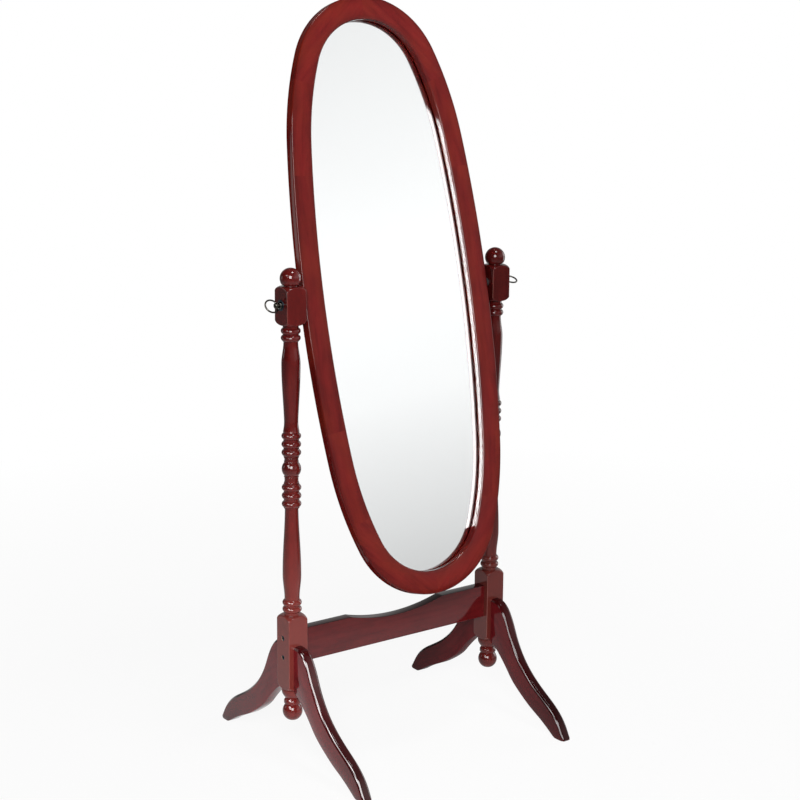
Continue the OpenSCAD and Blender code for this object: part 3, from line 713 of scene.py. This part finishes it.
def eased_arris(room):
    """Quarter turn from a side to the top: two tight curves with a long shallow one between."""
    bends = [(0, 32, 2.5, 3), (32, 58, 14.0, 6), (58, 90, 2.5, 3)]
    points, x, z = [], 0.0, 0.0
    for start, end, radius, steps in bends:
        for i in range(steps):
            a, b = (math.radians(start + (end - start) * k / steps) for k in (i, i + 1))
            x += radius * (math.cos(a) - math.cos(b))
            z += radius * (math.sin(b) - math.sin(a))
            points.append((x, z))
    scale = room / x
    return [(u * scale, w * scale) for u, w in points]


def leg_section(half, height, arris, bevel):
    """Section of a leg, as (sideways, up) points: eased at the top, bevelled at the bottom."""
    eased = eased_arris(arris)
    side = height - arris
    section = [(-half, bevel), (-half, side * 0.5), (-half, side)]
    section += [(-half + x, side + z) for x, z in eased]
    section += [(half - x, side + z) for x, z in reversed(eased)]
    section += [(half, side), (half, side * 0.5), (half, bevel)]
    return section + [(half - bevel * 0.3, bevel * 0.3), (half - bevel, 0),
                      (-half + bevel, 0), (-half + bevel * 0.3, bevel * 0.3)]


def leg_piece(name, side_x, side_y, materials):
    """One S-shaped leg, from the post's face to its toe."""
    reach = LEG_HIGH.y
    span = reach - BLOCK / 2
    underside, sole, tip, undercut, nose = 151 * MM, 26 * MM, 3 * MM, 2 * MM, 11 * MM
    thick, blunt = LEG_HIGH.x - LEG_LOW.x, 0.42
    toe = reach - undercut
    upper = outline(UPPER, LEG_HIGH.z, span) + [(reach, tip)]
    lower = outline(LOWER, underside, span) + [(toe - sole, 0), (toe - sole / 2, 0), (toe, 0)]
    top = evened(smooth_curve(upper, 7), 9)
    under = [Vector((p.x, max(p.y, 0.0))) for p in evened(smooth_curve(lower, 7), 5)]
    rings, uv_rings = [], []
    run, previous = 0.0, None
    for p, q in zip(top, under):
        height = (p - q).length
        rise = (p - q) / height
        middle = (p + q) / 2
        if previous is not None:
            run += (middle - previous).length
        previous = middle
        # the toe is rounded off to a blunt nose
        near = min(1.0, max(0.0, (reach - middle.x) / nose))
        half = thick / 2 * (blunt + (1 - blunt) * math.sqrt(1 - (1 - near) ** 2))
        arris = min(6.3 * MM, half - MM, 0.45 * height)
        section = leg_section(half, height, arris, min(1.2 * MM, height / 5))
        ring, uvs = [], []
        for x, up in section:
            point = q + rise * up
            ring.append(Vector((side_x * POST_X + x, side_y * point.x, point.y)))
            uvs.append((run + 0.3 * side_y, up + x * 0.6 + 0.11 * side_x))
        rings.append(ring)
        uv_rings.append(uvs + uvs[:1])
    return finish_mesh(name, *skin(rings, uv_rings), materials, sharp_deg=40)


# --- rail ------------------------------------------------------------------------
def rail_piece(name, materials, arris):
    """The rail between the posts: straight ends and a long shallow dip, edges softened."""
    low, top = RAIL_LOW.z, RAIL_HIGH.z
    half = (RAIL_HIGH.y - RAIL_LOW.y) / 2
    depth, radius = 17 * MM, 423 * MM
    dip = math.sqrt(radius ** 2 - (radius - depth) ** 2)
    # rings stand close together beside the two bends where the dip starts
    stations = [-INNER, -INNER + 0.02, -dip - 0.01, -dip - 0.0015, -dip]
    stations += [-dip + 2 * dip * i / 60 for i in range(1, 60)]
    stations += [dip, dip + 0.0015, dip + 0.01, INNER - 0.02, INNER]
    quarter = [math.pi / 2 * i / 4 for i in range(5)]
    rings, uv_rings = [], []
    for x in stations:
        up = top
        if abs(x) < dip:
            up = top - depth + radius - math.sqrt(radius ** 2 - x * x)
        section = [(half - arris + arris * math.sin(a), up - arris + arris * math.cos(a)) for a in quarter]
        section += [(half, (up + low) / 2)]
        section += [(half - arris + arris * math.cos(a), low + arris - arris * math.sin(a)) for a in quarter]
        section += [(-y, z) for y, z in reversed(section)]
        uvs = [(x + 0.5, z * 0.9 + y * 0.5 + 0.31) for y, z in section]
        rings.append([Vector((x, y, z)) for y, z in section])
        uv_rings.append(uvs + uvs[:1])
    return finish_mesh(name, *skin(rings, uv_rings), materials, sharp_deg=30)


# --- oval frame -------------------------------------------------------------------
class Oval:
    """The oval's three arcs a quarter, in metres about the frame's middle."""
    half_w, half_h = 0.229, 0.607
    side_r, shoulder_r, end_r = 2.893, 0.650, 0.179
    lean = math.radians(13.1)
    below_pivot = 0.0076
    width, depth = 0.047, 0.020
    # the rebate that holds the pane, the pane's thickness and its play round the edge
    rebate, pane, play = 9 * MM, 4 * MM, 0.6 * MM
    side_c = Vector((half_w - side_r, 0))
    end_c = Vector((0, half_h - end_r))
    line = end_c - side_c
    m, n = side_r - shoulder_r, shoulder_r - end_r
    side_a = math.atan2(line.y, line.x) - math.acos(
        (m * m + line.length_squared - n * n) / (2 * m * line.length))
    shoulder_c = side_c + m * Vector((math.cos(side_a), math.sin(side_a)))
    shoulder_a = math.atan2(end_c.y - shoulder_c.y, end_c.x - shoulder_c.x)
    side_joint = math.asin(0.42 * half_h / side_r)
    end_joint = math.asin((0.73 * half_h - shoulder_c.y) / shoulder_r)

    @classmethod
    def place(cls, x, y, z):
        """From the frame's upright drawing to its place on the leaning mirror."""
        z -= cls.below_pivot
        c, s = math.cos(cls.lean), math.sin(cls.lean)
        return Vector((x, y * c + z * s, -y * s + z * c)) + PIVOT


def moulding_section(face_round):
    """Section points (outward, to the front) in order; the outer edge is at 0."""
    o = Oval
    r = face_round
    front, back = o.depth / 2, -o.depth / 2
    bevel = 0.6 * MM
    quarter = [math.pi / 2 * i / 8 for i in range(9)]
    points = [(0, back + bevel), (0, front - r)]
    points += [(-r + r * math.cos(a), front - r + r * math.sin(a)) for a in quarter[1:]]
    points += [(-o.width / 2, front)]
    points += [(-o.width + r - r * math.sin(a), front - r + r * math.cos(a)) for a in quarter]
    points += [(-o.width, back + o.pane), (-o.width + o.rebate, back + o.pane), (-o.width + o.rebate, back),
               (-bevel, back)]
    return points


def frame_segment(name, arcs, flip_x, flip_z, materials, face_round, shift):
    """One glued segment of the moulding; arcs are (centre, radius, from, to) about the oval's parts."""
    section = moulding_section(face_round)
    # length and turn of one step along the arcs, at most
    longest, sharpest = 0.012, math.radians(1.6)
    rings, flat = [], []
    for index, (centre, radius, a0, a1) in enumerate(arcs):
        turn = abs(a1 - a0)
        steps = max(3, int(turn * radius / longest), int(turn / sharpest))
        for i in range(min(index, 1), steps + 1):
            a = a0 + (a1 - a0) * i / steps
            spots = [(centre.x + (radius + out) * math.cos(a), centre.y + (radius + out) * math.sin(a))
                     for out, _ in section]
            rings.append([Oval.place(-x if flip_x else x, -front, -z if flip_z else z)
                          for (x, z), (_, front) in zip(spots, section)])
            flat.append([Vector(spot) for spot in spots])
    # boards are sawn straight, so the grain runs along the chord
    origin = flat[0][0]
    chord = (flat[-1][0] - origin).normalized()
    normal = Vector((-chord.y, chord.x))
    uv_rings = []
    for spots in flat:
        uvs = [((p - origin).dot(chord) + shift, (p - origin).dot(normal) + 0.35 * front + shift * 0.7)
               for p, (_, front) in zip(spots, section)]
        uv_rings.append(uvs + uvs[:1])
    piece = finish_mesh(name, *skin(rings, uv_rings), materials, sharp_deg=30)
    across = piece.data.uv_layers.new(name="across")
    for loop in piece.data.loops:
        out, front = section[loop.vertex_index % len(section)]
        across.data[loop.index].uv = (-out / Oval.width, 0.5 - front / Oval.depth)
    return piece


# --- glass -------------------------------------------------------------------------
def glass_pane(name, materials):
    """The pane; the materials are its silvered back, its clear front and its edge."""
    o = Oval
    inset = o.width - o.rebate + o.play
    quarter = []
    for centre, radius, a0, a1, steps in ((o.side_c, o.side_r, 0, o.side_a, 14),
                                          (o.shoulder_c, o.shoulder_r, o.side_a, o.shoulder_a, 12),
                                          (o.end_c, o.end_r, o.shoulder_a, math.pi / 2, 30)):
        for i in range(steps + 1):
            a = a0 + (a1 - a0) * i / steps
            p = centre + (radius - inset) * Vector((math.cos(a), math.sin(a)))
            if not quarter or (quarter[-1] - p).length > 1e-5:
                quarter.append(p)
    points = [Vector(p) for p in quarter]
    points += [Vector((-p.x, p.y)) for p in reversed(quarter[:-1])]
    points += [Vector((-p.x, -p.y)) for p in quarter[1:]]
    points += [Vector((p.x, -p.y)) for p in reversed(quarter[1:-1])]
    n = len(points)
    verts = [Oval.place(p.x, y, p.y) for y in (o.depth / 2 - o.pane, o.depth / 2) for p in points]
    faces = [(j, (j + 1) % n, n + (j + 1) % n, n + j) for j in range(n)]
    faces += [tuple(range(n)), tuple(range(2 * n - 1, n - 1, -1))]
    uvs = [tuple((0.0, 0.0) for _ in face) for face in faces]
    return finish_mesh(name, verts, faces, uvs, materials, 30, face_material=[2] * n + [1, 0])


# --- clamps ------------------------------------------------------------------------
def lathe(name, profile, side, materials, sharp_deg=35, closed_ends=True):
    """Turns (outward, radius) points in millimetres about the tilt axis, from a post's outer face."""
    around = 64
    turns = [2 * math.pi * j / around for j in range(around + 1)]
    rings, uv_rings = [], []
    for out, r in profile:
        x = side * (OUTER + out * MM)
        rings.append([Vector((x, r * MM * math.cos(a), PIVOT.z + r * MM * math.sin(a))) for a in turns[:-1]])
        uv_rings.append([(out * MM, a * r * MM) for a in turns])
    return finish_mesh(name, *skin(rings, uv_rings, closed_ends), materials, sharp_deg)


def clamp_screw_piece(name, side, materials):
    """The clamp screw: a thin shank, a round shoulder that bears on the washer, and a domed head."""
    seat = 1.6
    shank = [(-66.9, 2.2), (-66.0, 3.0), (seat, 3.0)]
    shoulder = [(0, 7.1), (0.3, 7.45), (1.2, 7.45), (1.5, 7.2)]
    head = [(3.0, 5.55), (4.2, 5.5), (5.3, 5.9), (6, 6.0), (10.0, 6.0), (11.4, 5.6), (12.6, 4.6), (13.5, 3.0),
            (13.9, 1.4), (14.0, 0.2)]
    return lathe(name, shank + [(seat + out, r) for out, r in shoulder + head], side, materials)


def thumb_ring_piece(name, side, slope, materials):
    """Wire ring whose plane holds the tilt axis."""
    centre = Vector((side * (OUTER + 21.1 * MM), 0, PIVOT.z))
    big, wire_r = 13.65 * MM, 1.65 * MM
    outward = Vector((1, 0, 0))
    upward = Vector((0, math.cos(slope), math.sin(slope)))
    normal = Vector((0, -math.sin(slope), math.cos(slope)))
    around, steps = 20, 96
    rings, uv_rings = [], []
    for i in range(steps + 1):
        a = 2 * math.pi * (i % steps) / steps
        d = outward * math.cos(a) + upward * math.sin(a)
        rings.append([centre + d * (big + wire_r * math.cos(b)) + normal * (wire_r * math.sin(b))
                      for b in [2 * math.pi * j / around for j in range(around)]])
        uv_rings.append([(i * 0.001, j * 0.0004) for j in range(around + 1)])
    ring = finish_mesh(name, *skin(rings, uv_rings, closed_ends=False), materials, 60)
    weld(ring)
    return ring


def washer_piece(name, side, materials):
    """Flat washer with softened rims."""
    profile = [(0.05, 3.1), (0.05, 10.9), (0.15, 11.0), (1.2, 11.0), (1.55, 10.6), (1.55, 3.1), (0.05, 3.1)]
    washer = lathe(name, profile, side, materials, 30, closed_ends=False)
    weld(washer)
    return washer


# --- materials kept by name -----------------------------------------------------------
MADE = {}


# every finish but the lacquered wood, which material_for makes for each kind and tone
FINISHES = {
    "nickel": lambda scene: metal("Dark nickel", scene.cheval_metal.nickel, 0.16, 0.35),
    "black steel": lambda scene: metal("Blackened steel", scene.cheval_metal.blackened, 0.32, 0.25, 0.85),
    "zinc": lambda scene: metal("Zinc plated steel", (0.52, 0.53, 0.55), 0.3, 0.3),
    "brass": lambda scene: metal("Turned brass", (0.62, 0.42, 0.16), 0.25, 0.3),
    "nylon": lambda scene: metal("Black nylon", (0.018, 0.018, 0.019), 0.5, 0.2, 0.0),
    "beech": lambda scene: plain_wood("Beech dowel", (0.62, 0.44, 0.25), (0.5, 0.33, 0.18), (40, 40, 400)),
    "bare wood": lambda scene: plain_wood("Bare bored wood", (0.50, 0.30, 0.17), (0.38, 0.21, 0.12),
                                          (300, 300, 300)),
    "board": lambda scene: back_board_material(),
    "mirror": lambda scene: silvered_glass(scene.cheval_mirror),
    "clear glass": lambda scene: clear_glass(),
    "glass edge": lambda scene: glass_edge(),
}


def material_for(key):
    """Each finish is made once; wood is asked for as (kind, tone, share of clear coat)."""
    scene = bpy.context.scene
    if key not in MADE:
        if key in FINISHES:
            MADE[key] = FINISHES[key](scene)
        else:
            kind, tone, coat = key
            MADE[key] = lacquered_wood(f"{kind} lacquer {tone:.2f}", kind, tone, coat, scene.cheval_lacquer)
    return MADE[key]


def bore(piece, holes):
    """Cuts round holes out of a piece; each is (start, direction, length, radius)."""
    cutters = []
    for index, (start, direction, length, radius) in enumerate(holes):
        mesh = bpy.data.meshes.new(f"bit_{index}")
        work = bmesh.new()
        bmesh.ops.create_cone(work, cap_ends=True, segments=48, radius1=radius, radius2=radius, depth=length)
        turn = Vector(direction).to_track_quat("Z", "Y").to_matrix().to_4x4()
        middle = Vector(start) + Vector(direction) * length / 2
        bmesh.ops.transform(work, matrix=Matrix.Translation(middle) @ turn, verts=work.verts)
        work.to_mesh(mesh)
        work.free()
        mesh.materials.append(material_for("bare wood"))
        cutter = bpy.data.objects.new(f"bit_{index}", mesh)
        bpy.context.scene.collection.objects.link(cutter)
        cutters.append(cutter)
        cut = piece.modifiers.new(f"bore_{index}", "BOOLEAN")
        cut.operation = "DIFFERENCE"
        cut.solver = "EXACT"
        cut.material_mode = "TRANSFER"
        cut.object = cutter
    bpy.context.view_layer.update()
    now = bpy.context.evaluated_depsgraph_get()
    bored = bpy.data.meshes.new_from_object(piece.evaluated_get(now), preserve_all_data_layers=True,
                                            depsgraph=now)
    piece.modifiers.clear()
    whole = piece.data
    piece.data = bored
    bored.name = piece.name
    bpy.data.meshes.remove(whole)
    for cutter in cutters:
        bit = cutter.data
        bpy.data.objects.remove(cutter)
        bpy.data.meshes.remove(bit)


def settle(piece, body, slot, *replaced):
    """Puts a finished piece on its body, in place of its CAD nodes; its slot argument is not used."""
    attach(piece, body)
    if replaced:
        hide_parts(*replaced)


# --- operators ------------------------------------------------------------------------
class CHEVAL_OT_posts(bpy.types.Operator):
    """Turn both posts, with their square blocks, beads, swellings and balls"""
    bl_idname = "cheval.posts"
    bl_label = "Turned posts"

    def execute(self, context):
        arris = context.scene.cheval_lacquer.arris
        head_depth = 6 * MM
        # the right post's lower tone is partly painted shade
        for name, side, tone, coat in (("left_post", -1, 0.92, 0.95), ("right_post", 1, 0.54, 0.65)):
            piece = post_piece(f"turned_{name}", side, [material_for(("Post", tone, coat))], arris)
            outside = side * (OUTER + CLEAR)
            inward = (-side, 0, 0)
            holes = [((outside, 0, PIVOT.z), inward, BLOCK + 2 * CLEAR, SHANK_BIT)]
            for bolt in BOLTS:
                holes.append(((outside, 0, bolt), inward, BLOCK + 2 * CLEAR, SHANK_BIT))
                holes.append(((outside, 0, bolt), inward, head_depth + CLEAR, DOWEL_BIT))
            for dowel in DOWELS:
                for face in (-1, 1):
                    holes.append(((side * POST_X, face * (BLOCK / 2 + CLEAR), dowel), (0, -face, 0),
                                  DOWEL_IN_POST + CLEAR, DOWEL_BIT))
            bore(piece, holes)
            settle(piece, "stand", "stand_lacquer", name)
        return {"FINISHED"}


class CHEVAL_OT_legs(bpy.types.Operator):
    """Shape the four curved legs"""
    bl_idname = "cheval.legs"
    bl_label = "Curved legs"

    def execute(self, context):
        # the right-hand and rear legs' lower tones are partly painted shade
        for name, side_x, side_y, tone, coat in (
                ("front_left_leg", -1, -1, 0.86, 1.0), ("rear_left_leg", -1, 1, 0.72, 1.0),
                ("front_right_leg", 1, -1, 0.54, 0.42), ("rear_right_leg", 1, 1, 0.50, 0.25)):
            piece = leg_piece(f"curved_{name}", side_x, side_y, [material_for(("Leg", tone, coat))])
            bore(piece, [((side_x * POST_X, side_y * (BLOCK / 2 - CLEAR), dowel), (0, side_y, 0),
                          DOWEL_IN_LEG + CLEAR, DOWEL_BIT) for dowel in DOWELS])
            settle(piece, "stand", "stand_lacquer", name)
        return {"FINISHED"}


class CHEVAL_OT_rail(bpy.types.Operator):
    """Shape the cross rail, and finish the bolts, nuts, dowels and spacers of the stand"""
    bl_idname = "cheval.rail"
    bl_label = "Cross rail and fixings"

    def execute(self, context):
        piece = rail_piece("shaped_cross_rail", [material_for(("Rail", 0.54, 0.95))],
                           context.scene.cheval_lacquer.arris)
        bolt_depth = INNER + BOLTS_HIGH.x + 3 * MM
        nut_x, nut_start = -(NUTS_LOW.x + NUTS_HIGH.x) / 2, NUTS_LOW.y - MM
        holes = []
        for side in (-1, 1):
            for bolt in BOLTS:
                holes.append(((side * (INNER + CLEAR), 0, bolt), (-side, 0, 0),
                              bolt_depth + CLEAR, SHANK_BIT))
                holes.append(((side * nut_x, nut_start, bolt), (0, 1, 0),
                              RAIL_HIGH.y - nut_start + CLEAR, DOWEL_BIT))
        bore(piece, holes)
        settle(piece, "stand", "stand_lacquer", "cross_rail")
        for side in ("left", "right"):
            for kind, key in (("rail_bolts", "black steel"), ("cross_nuts", "zinc"), ("leg_dowels", "beech"),
                              ("spacer", "nylon")):
                dress_cad(f"{side}_{kind}", material_for(key))
        return {"FINISHED"}


class CHEVAL_OT_oval(bpy.types.Operator):
    """Bend the ten glued segments of the oval frame"""
    bl_idname = "cheval.oval"
    bl_label = "Oval frame"

    def execute(self, context):
        o = Oval
        side = [(o.side_c, o.side_r, -o.side_joint, o.side_joint)]
        shoulder = [(o.side_c, o.side_r, o.side_joint, o.side_a),
                    (o.shoulder_c, o.shoulder_r, o.side_a, o.end_joint)]
        end = [(o.shoulder_c, o.shoulder_r, o.end_joint, o.shoulder_a),
               (o.end_c, o.end_r, o.shoulder_a, math.pi / 2)]
        plan = (("frame_left_side", side, True, False, 0.60, 0.46),
                ("frame_right_side", side, False, False, 0.67, 0.48),
                ("frame_upper_left_shoulder", shoulder, True, False, 0.65, 0.44),
                ("frame_upper_right_shoulder", shoulder, False, False, 0.70, 0.46),
                ("frame_lower_left_shoulder", shoulder, True, True, 0.66, 0.55),
                ("frame_lower_right_shoulder", shoulder, False, True, 0.68, 0.54),
                ("frame_top_left_end", end, True, False, 0.69, 0.46),
                ("frame_top_right_end", end, False, False, 0.73, 0.52),
                ("frame_bottom_left_end", end, True, True, 0.70, 0.66),
                ("frame_bottom_right_end", end, False, True, 0.73, 0.66))
        for index, (name, arcs, flip_x, flip_z, tone, coat) in enumerate(plan):
            wood = material_for(("Frame", tone, coat))
            piece = frame_segment(f"moulded_{name}", arcs, flip_x, flip_z, [wood],
                                  context.scene.cheval_mirror.face_round, 0.37 * index)
            settle(piece, "mirror", "frame_lacquer", name)
        return {"FINISHED"}


class CHEVAL_OT_glass(bpy.types.Operator):
    """Silver the glass and finish the back board, its screws and the threaded inserts"""
    bl_idname = "cheval.glass"
    bl_label = "Glass and back"

    def execute(self, context):
        finishes = [material_for(key) for key in ("mirror", "clear glass", "glass edge")]
        pane = glass_pane("silvered_pane", finishes)
        settle(pane, "mirror", "mirror_glass", "mirror_glass")
        dress_cad("back_board", material_for("board"))
        dress_cad("back_board_screws", material_for("zinc"))
        for side in ("left", "right"):
            dress_cad(f"{side}_threaded_insert", material_for("brass"))
        return {"FINISHED"}


class CHEVAL_OT_clamps(bpy.types.Operator):
    """Turn the clamp screws and washers and bend the thumb rings"""
    bl_idname = "cheval.clamps"
    bl_label = "Pivot clamps"

    def execute(self, context):
        nickel, black = [material_for("nickel")], [material_for("black steel")]
        for name, side, slope in (("left", -1, 51.5), ("right", 1, 22.0)):
            screw = clamp_screw_piece(f"turned_{name}_clamp_screw", side, nickel)
            settle(screw, f"{name}_screw", "nickel", f"{name}_clamp_screw")
            ring = thumb_ring_piece(f"bent_{name}_thumb_ring", side, math.radians(slope), nickel)
            settle(ring, f"{name}_screw", "nickel", f"{name}_thumb_ring")
            washer = washer_piece(f"pressed_{name}_clamp_washer", side, black)
            settle(washer, f"{name}_washer", "dark_steel", f"{name}_clamp_washer")
        return {"FINISHED"}


def dress_cad(name, material):
    """Gives a CAD node its finish."""
    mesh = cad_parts[name].data
    mesh.materials.clear()
    mesh.materials.append(material)


# --- stage -----------------------------------------------------------------------------
def area_light(name, place, target, size, power):
    """A rectangular lamp at a place, turned to a target."""
    data = bpy.data.lights.new(name, "AREA")
    data.shape = "RECTANGLE"
    data.size, data.size_y = size
    data.energy = power
    light = bpy.data.objects.new(name, data)
    bpy.context.scene.collection.objects.link(light)
    light.location = place
    light.rotation_euler = (Vector(target) - Vector(place)).to_track_quat("-Z", "Y").to_euler()
    return light


def photo_camera():
    """Camera at the photograph's place, angle and framing."""
    place = (-2.1563, -2.8904, 1.5290)
    yaw, pitch, roll = (math.radians(angle) for angle in (35.734, -12.029, 0.213))
    # the photograph's side, its focal length and the middle of its view, all in pixels
    picture, focal, middle_x, middle_y = 800, 1805.55, 365.53, 378.77
    sensor = 36
    ahead = Vector((math.sin(yaw) * math.cos(pitch), math.cos(yaw) * math.cos(pitch), math.sin(pitch)))
    right = Vector((math.cos(yaw), -math.sin(yaw), 0))
    up = right.cross(ahead)
    turned_right = right * math.cos(roll) + up * math.sin(roll)
    turned_up = up * math.cos(roll) - right * math.sin(roll)
    data = bpy.data.cameras.new("Camera")
    data.sensor_width = sensor
    data.lens = sensor * focal / picture
    data.shift_x = (picture / 2 - middle_x) / picture
    data.shift_y = (middle_y - picture / 2) / picture
    data.clip_end = 60
    camera = bpy.data.objects.new("Camera", data)
    bpy.context.scene.collection.objects.link(camera)
    camera.matrix_world = Matrix.Translation(place) @ Matrix(
        (turned_right, turned_up, -ahead)).transposed().to_4x4()
    bpy.context.scene.camera = camera


def ray_kinds(tree):
    """Two outputs: 1 for rays from the camera, and 1 for rays off gloss or through glass."""
    rays = tree.nodes.new("ShaderNodeLightPath").outputs
    shiny = calculated(tree, "MAXIMUM", rays["Is Glossy Ray"], rays["Is Transmission Ray"])
    return rays["Is Camera Ray"], shiny


def switched(tree, factor, off, on):
    """One shader where the factor is 0, another where it is 1."""
    return wire(tree, tree.nodes.new("ShaderNodeMixShader"), {"Fac": factor, 1: off, 2: on}).outputs[0]


def pale_floor(settings):
    """A wide floor that shows white to the camera, yet keeps the object's shadow."""
    bpy.ops.mesh.primitive_plane_add(size=40, location=(0, 0, -0.0002))
    floor = bpy.context.object
    floor.name = "floor"
    material, tree, shader = new_material("Pale floor")
    put(shader, {"Base Color": (*settings.floor, 1), "Roughness": 0.9, "Specular IOR Level": 0.1})
    camera_ray, shiny_ray = ray_kinds(tree)
    distance = wire(tree, node(tree, "ShaderNodeVectorMath", operation="LENGTH"), {0: own_place(tree)})
    # distance from the object, as a share of six metres
    away = calculated(tree, "MULTIPLY", distance.outputs["Value"], 1 / 6)
    # the lit patch of floor round the object, as gloss shows it
    patch = number_ramp(tree, away, [(0.0, 0.85), (0.08, 0.78), (0.14, 0.60), (0.22, 0.52), (0.36, 0.38),
                                     (0.56, 0.22), (0.75, 0.18)])
    lit = wire(tree, tree.nodes.new("ShaderNodeEmission"), {"Color": patch})
    # near the object the floor keeps its shadow, further off it fades to plain white
    fade = number_ramp(tree, away, [(0.14, 0.91), (0.42, 1.0)])
    white = node(tree, "ShaderNodeEmission", Color=(1, 1, 1, 1))
    for_camera = switched(tree, calculated(tree, "MULTIPLY", camera_ray, fade), shader.outputs["BSDF"],
                          white.outputs[0])
    shown = switched(tree, shiny_ray, for_camera, lit.outputs[0])
    wire(tree, tree.nodes["Material Output"], {"Surface": shown})
    floor.data.materials.append(material)


def studio_world():
    """White to the camera; gloss shows a room that is white on its right and dark on its left."""
    world = bpy.data.worlds.new("Studio")
    bpy.context.scene.world = world
    world.use_nodes = True
    tree = world.node_tree
    tree.nodes.clear()
    camera_ray, shiny_ray = ray_kinds(tree)
    place = tree.nodes.new("ShaderNodeTexCoord").outputs["Generated"]
    # the room is bright to the right and a little to the front
    across = node(tree, "ShaderNodeVectorMath", operation="DOT_PRODUCT")
    put(across, {1: (0.958 / 2, -0.287 / 2, 0.0)})
    wire(tree, across, {0: place})
    rightward = calculated(tree, "ADD", across.outputs["Value"], 0.5)
    sideways = number_ramp(tree, rightward, [(0.10, 0.05), (0.22, 0.09), (0.35, 0.28), (0.66, 0.45),
                                             (0.85, 1.0)])
    upward = number_ramp(tree, axes(tree, place)["Z"], [(0.04, 0.54), (0.15, 0.91), (0.22, 0.97),
                                                        (0.36, 0.79), (0.75, 0.25)])
    sky = tinted(tree, sideways, upward)
    fill = wire(tree, node(tree, "ShaderNodeBackground", Strength=0.32), {"Color": sky})
    gloss = wire(tree, node(tree, "ShaderNodeBackground", Strength=1.18), {"Color": sky})
    white = node(tree, "ShaderNodeBackground", Strength=1.0, Color=(1, 1, 1, 1))
    light = switched(tree, shiny_ray, fill.outputs[0], gloss.outputs[0])
    shown = switched(tree, camera_ray, light, white.outputs[0])
    wire(tree, tree.nodes.new("ShaderNodeOutputWorld"), {"Surface": shown})


class CHEVAL_OT_stage(bpy.types.Operator):
    """Set the pale floor, the soft studio light and the camera"""
    bl_idname = "cheval.stage"
    bl_label = "Stage, light and camera"

    def execute(self, context):
        settings = context.scene.cheval_stage
        context.scene.view_settings.view_transform = "Standard"
        photo_camera()
        pale_floor(settings)
        studio_world()
        area_light("Front softbox", (-2.85, -3.85, 2.70), (-0.2, 0, 0.8), (2.2, 2.4), settings.key)
        area_light("Overhead softbox", (0.1, -0.75, 3.15), (-0.1, 0, 0.3), (0.6, 0.5), 19)
        area_light("Right softbox", (2.7, -0.1, 0.95), (0, 0, 0.8), (1.1, 1.8), 22)
        area_light("Left softbox", (-2.2, 2.3, 1.15), (0, 0, 0.7), (0.7, 0.9), 3.6)
        # two grid lamps that only gleam along the legs' upper edges
        for name, place in (("Low sheen", (-2.16, -1.09, 1.46)), ("High sheen", (-1.94, -0.42, 1.97))):
            sheen = area_light(name, place, (-0.05, -0.12, 0.08), (2.4, 0.5), 3.8)
            sheen.data.spread = math.radians(34)
            sheen.visible_diffuse = False
        return {"FINISHED"}


class CHEVAL_PT_panel(bpy.types.Panel):
    """Lists the settings and the operators in the sidebar"""
    bl_idname = "CHEVAL_PT_panel"
    bl_label = "Cheval mirror"
    bl_space_type = "VIEW_3D"
    bl_region_type = "UI"
    bl_category = "Cheval mirror"

    def draw(self, context):
        scene = context.scene
        for title, settings in (("Lacquer", scene.cheval_lacquer), ("Mirror", scene.cheval_mirror),
                                ("Metal", scene.cheval_metal), ("Stage", scene.cheval_stage)):
            box = self.layout.box()
            box.label(text=title)
            for key in settings.bl_rna.properties.keys():
                if key not in ("rna_type", "name"):
                    box.prop(settings, key)
        for operator in OPERATORS:
            self.layout.operator(operator.bl_idname)


OPERATORS = (CHEVAL_OT_posts, CHEVAL_OT_legs, CHEVAL_OT_rail, CHEVAL_OT_oval, CHEVAL_OT_glass,
             CHEVAL_OT_clamps, CHEVAL_OT_stage)
GROUPS = (("cheval_lacquer", LacquerSettings), ("cheval_mirror", MirrorSettings),
          ("cheval_metal", MetalSettings), ("cheval_stage", StageSettings))


def register():
    for name, group in GROUPS:
        bpy.utils.register_class(group)
        setattr(bpy.types.Scene, name, PointerProperty(type=group))
    for operator in OPERATORS:
        bpy.utils.register_class(operator)
    bpy.utils.register_class(CHEVAL_PT_panel)


def unregister():
    bpy.utils.unregister_class(CHEVAL_PT_panel)
    for operator in reversed(OPERATORS):
        bpy.utils.unregister_class(operator)
    for name, group in reversed(GROUPS):
        delattr(bpy.types.Scene, name)
        bpy.utils.unregister_class(group)


def main():
    register()
    bpy.ops.cheval.posts()
    bpy.ops.cheval.legs()
    bpy.ops.cheval.rail()
    bpy.ops.cheval.oval()
    bpy.ops.cheval.glass()
    bpy.ops.cheval.clamps()
    bpy.ops.cheval.stage()
    bpy.context.view_layer.update()


if __name__ == "__main__":
    main()
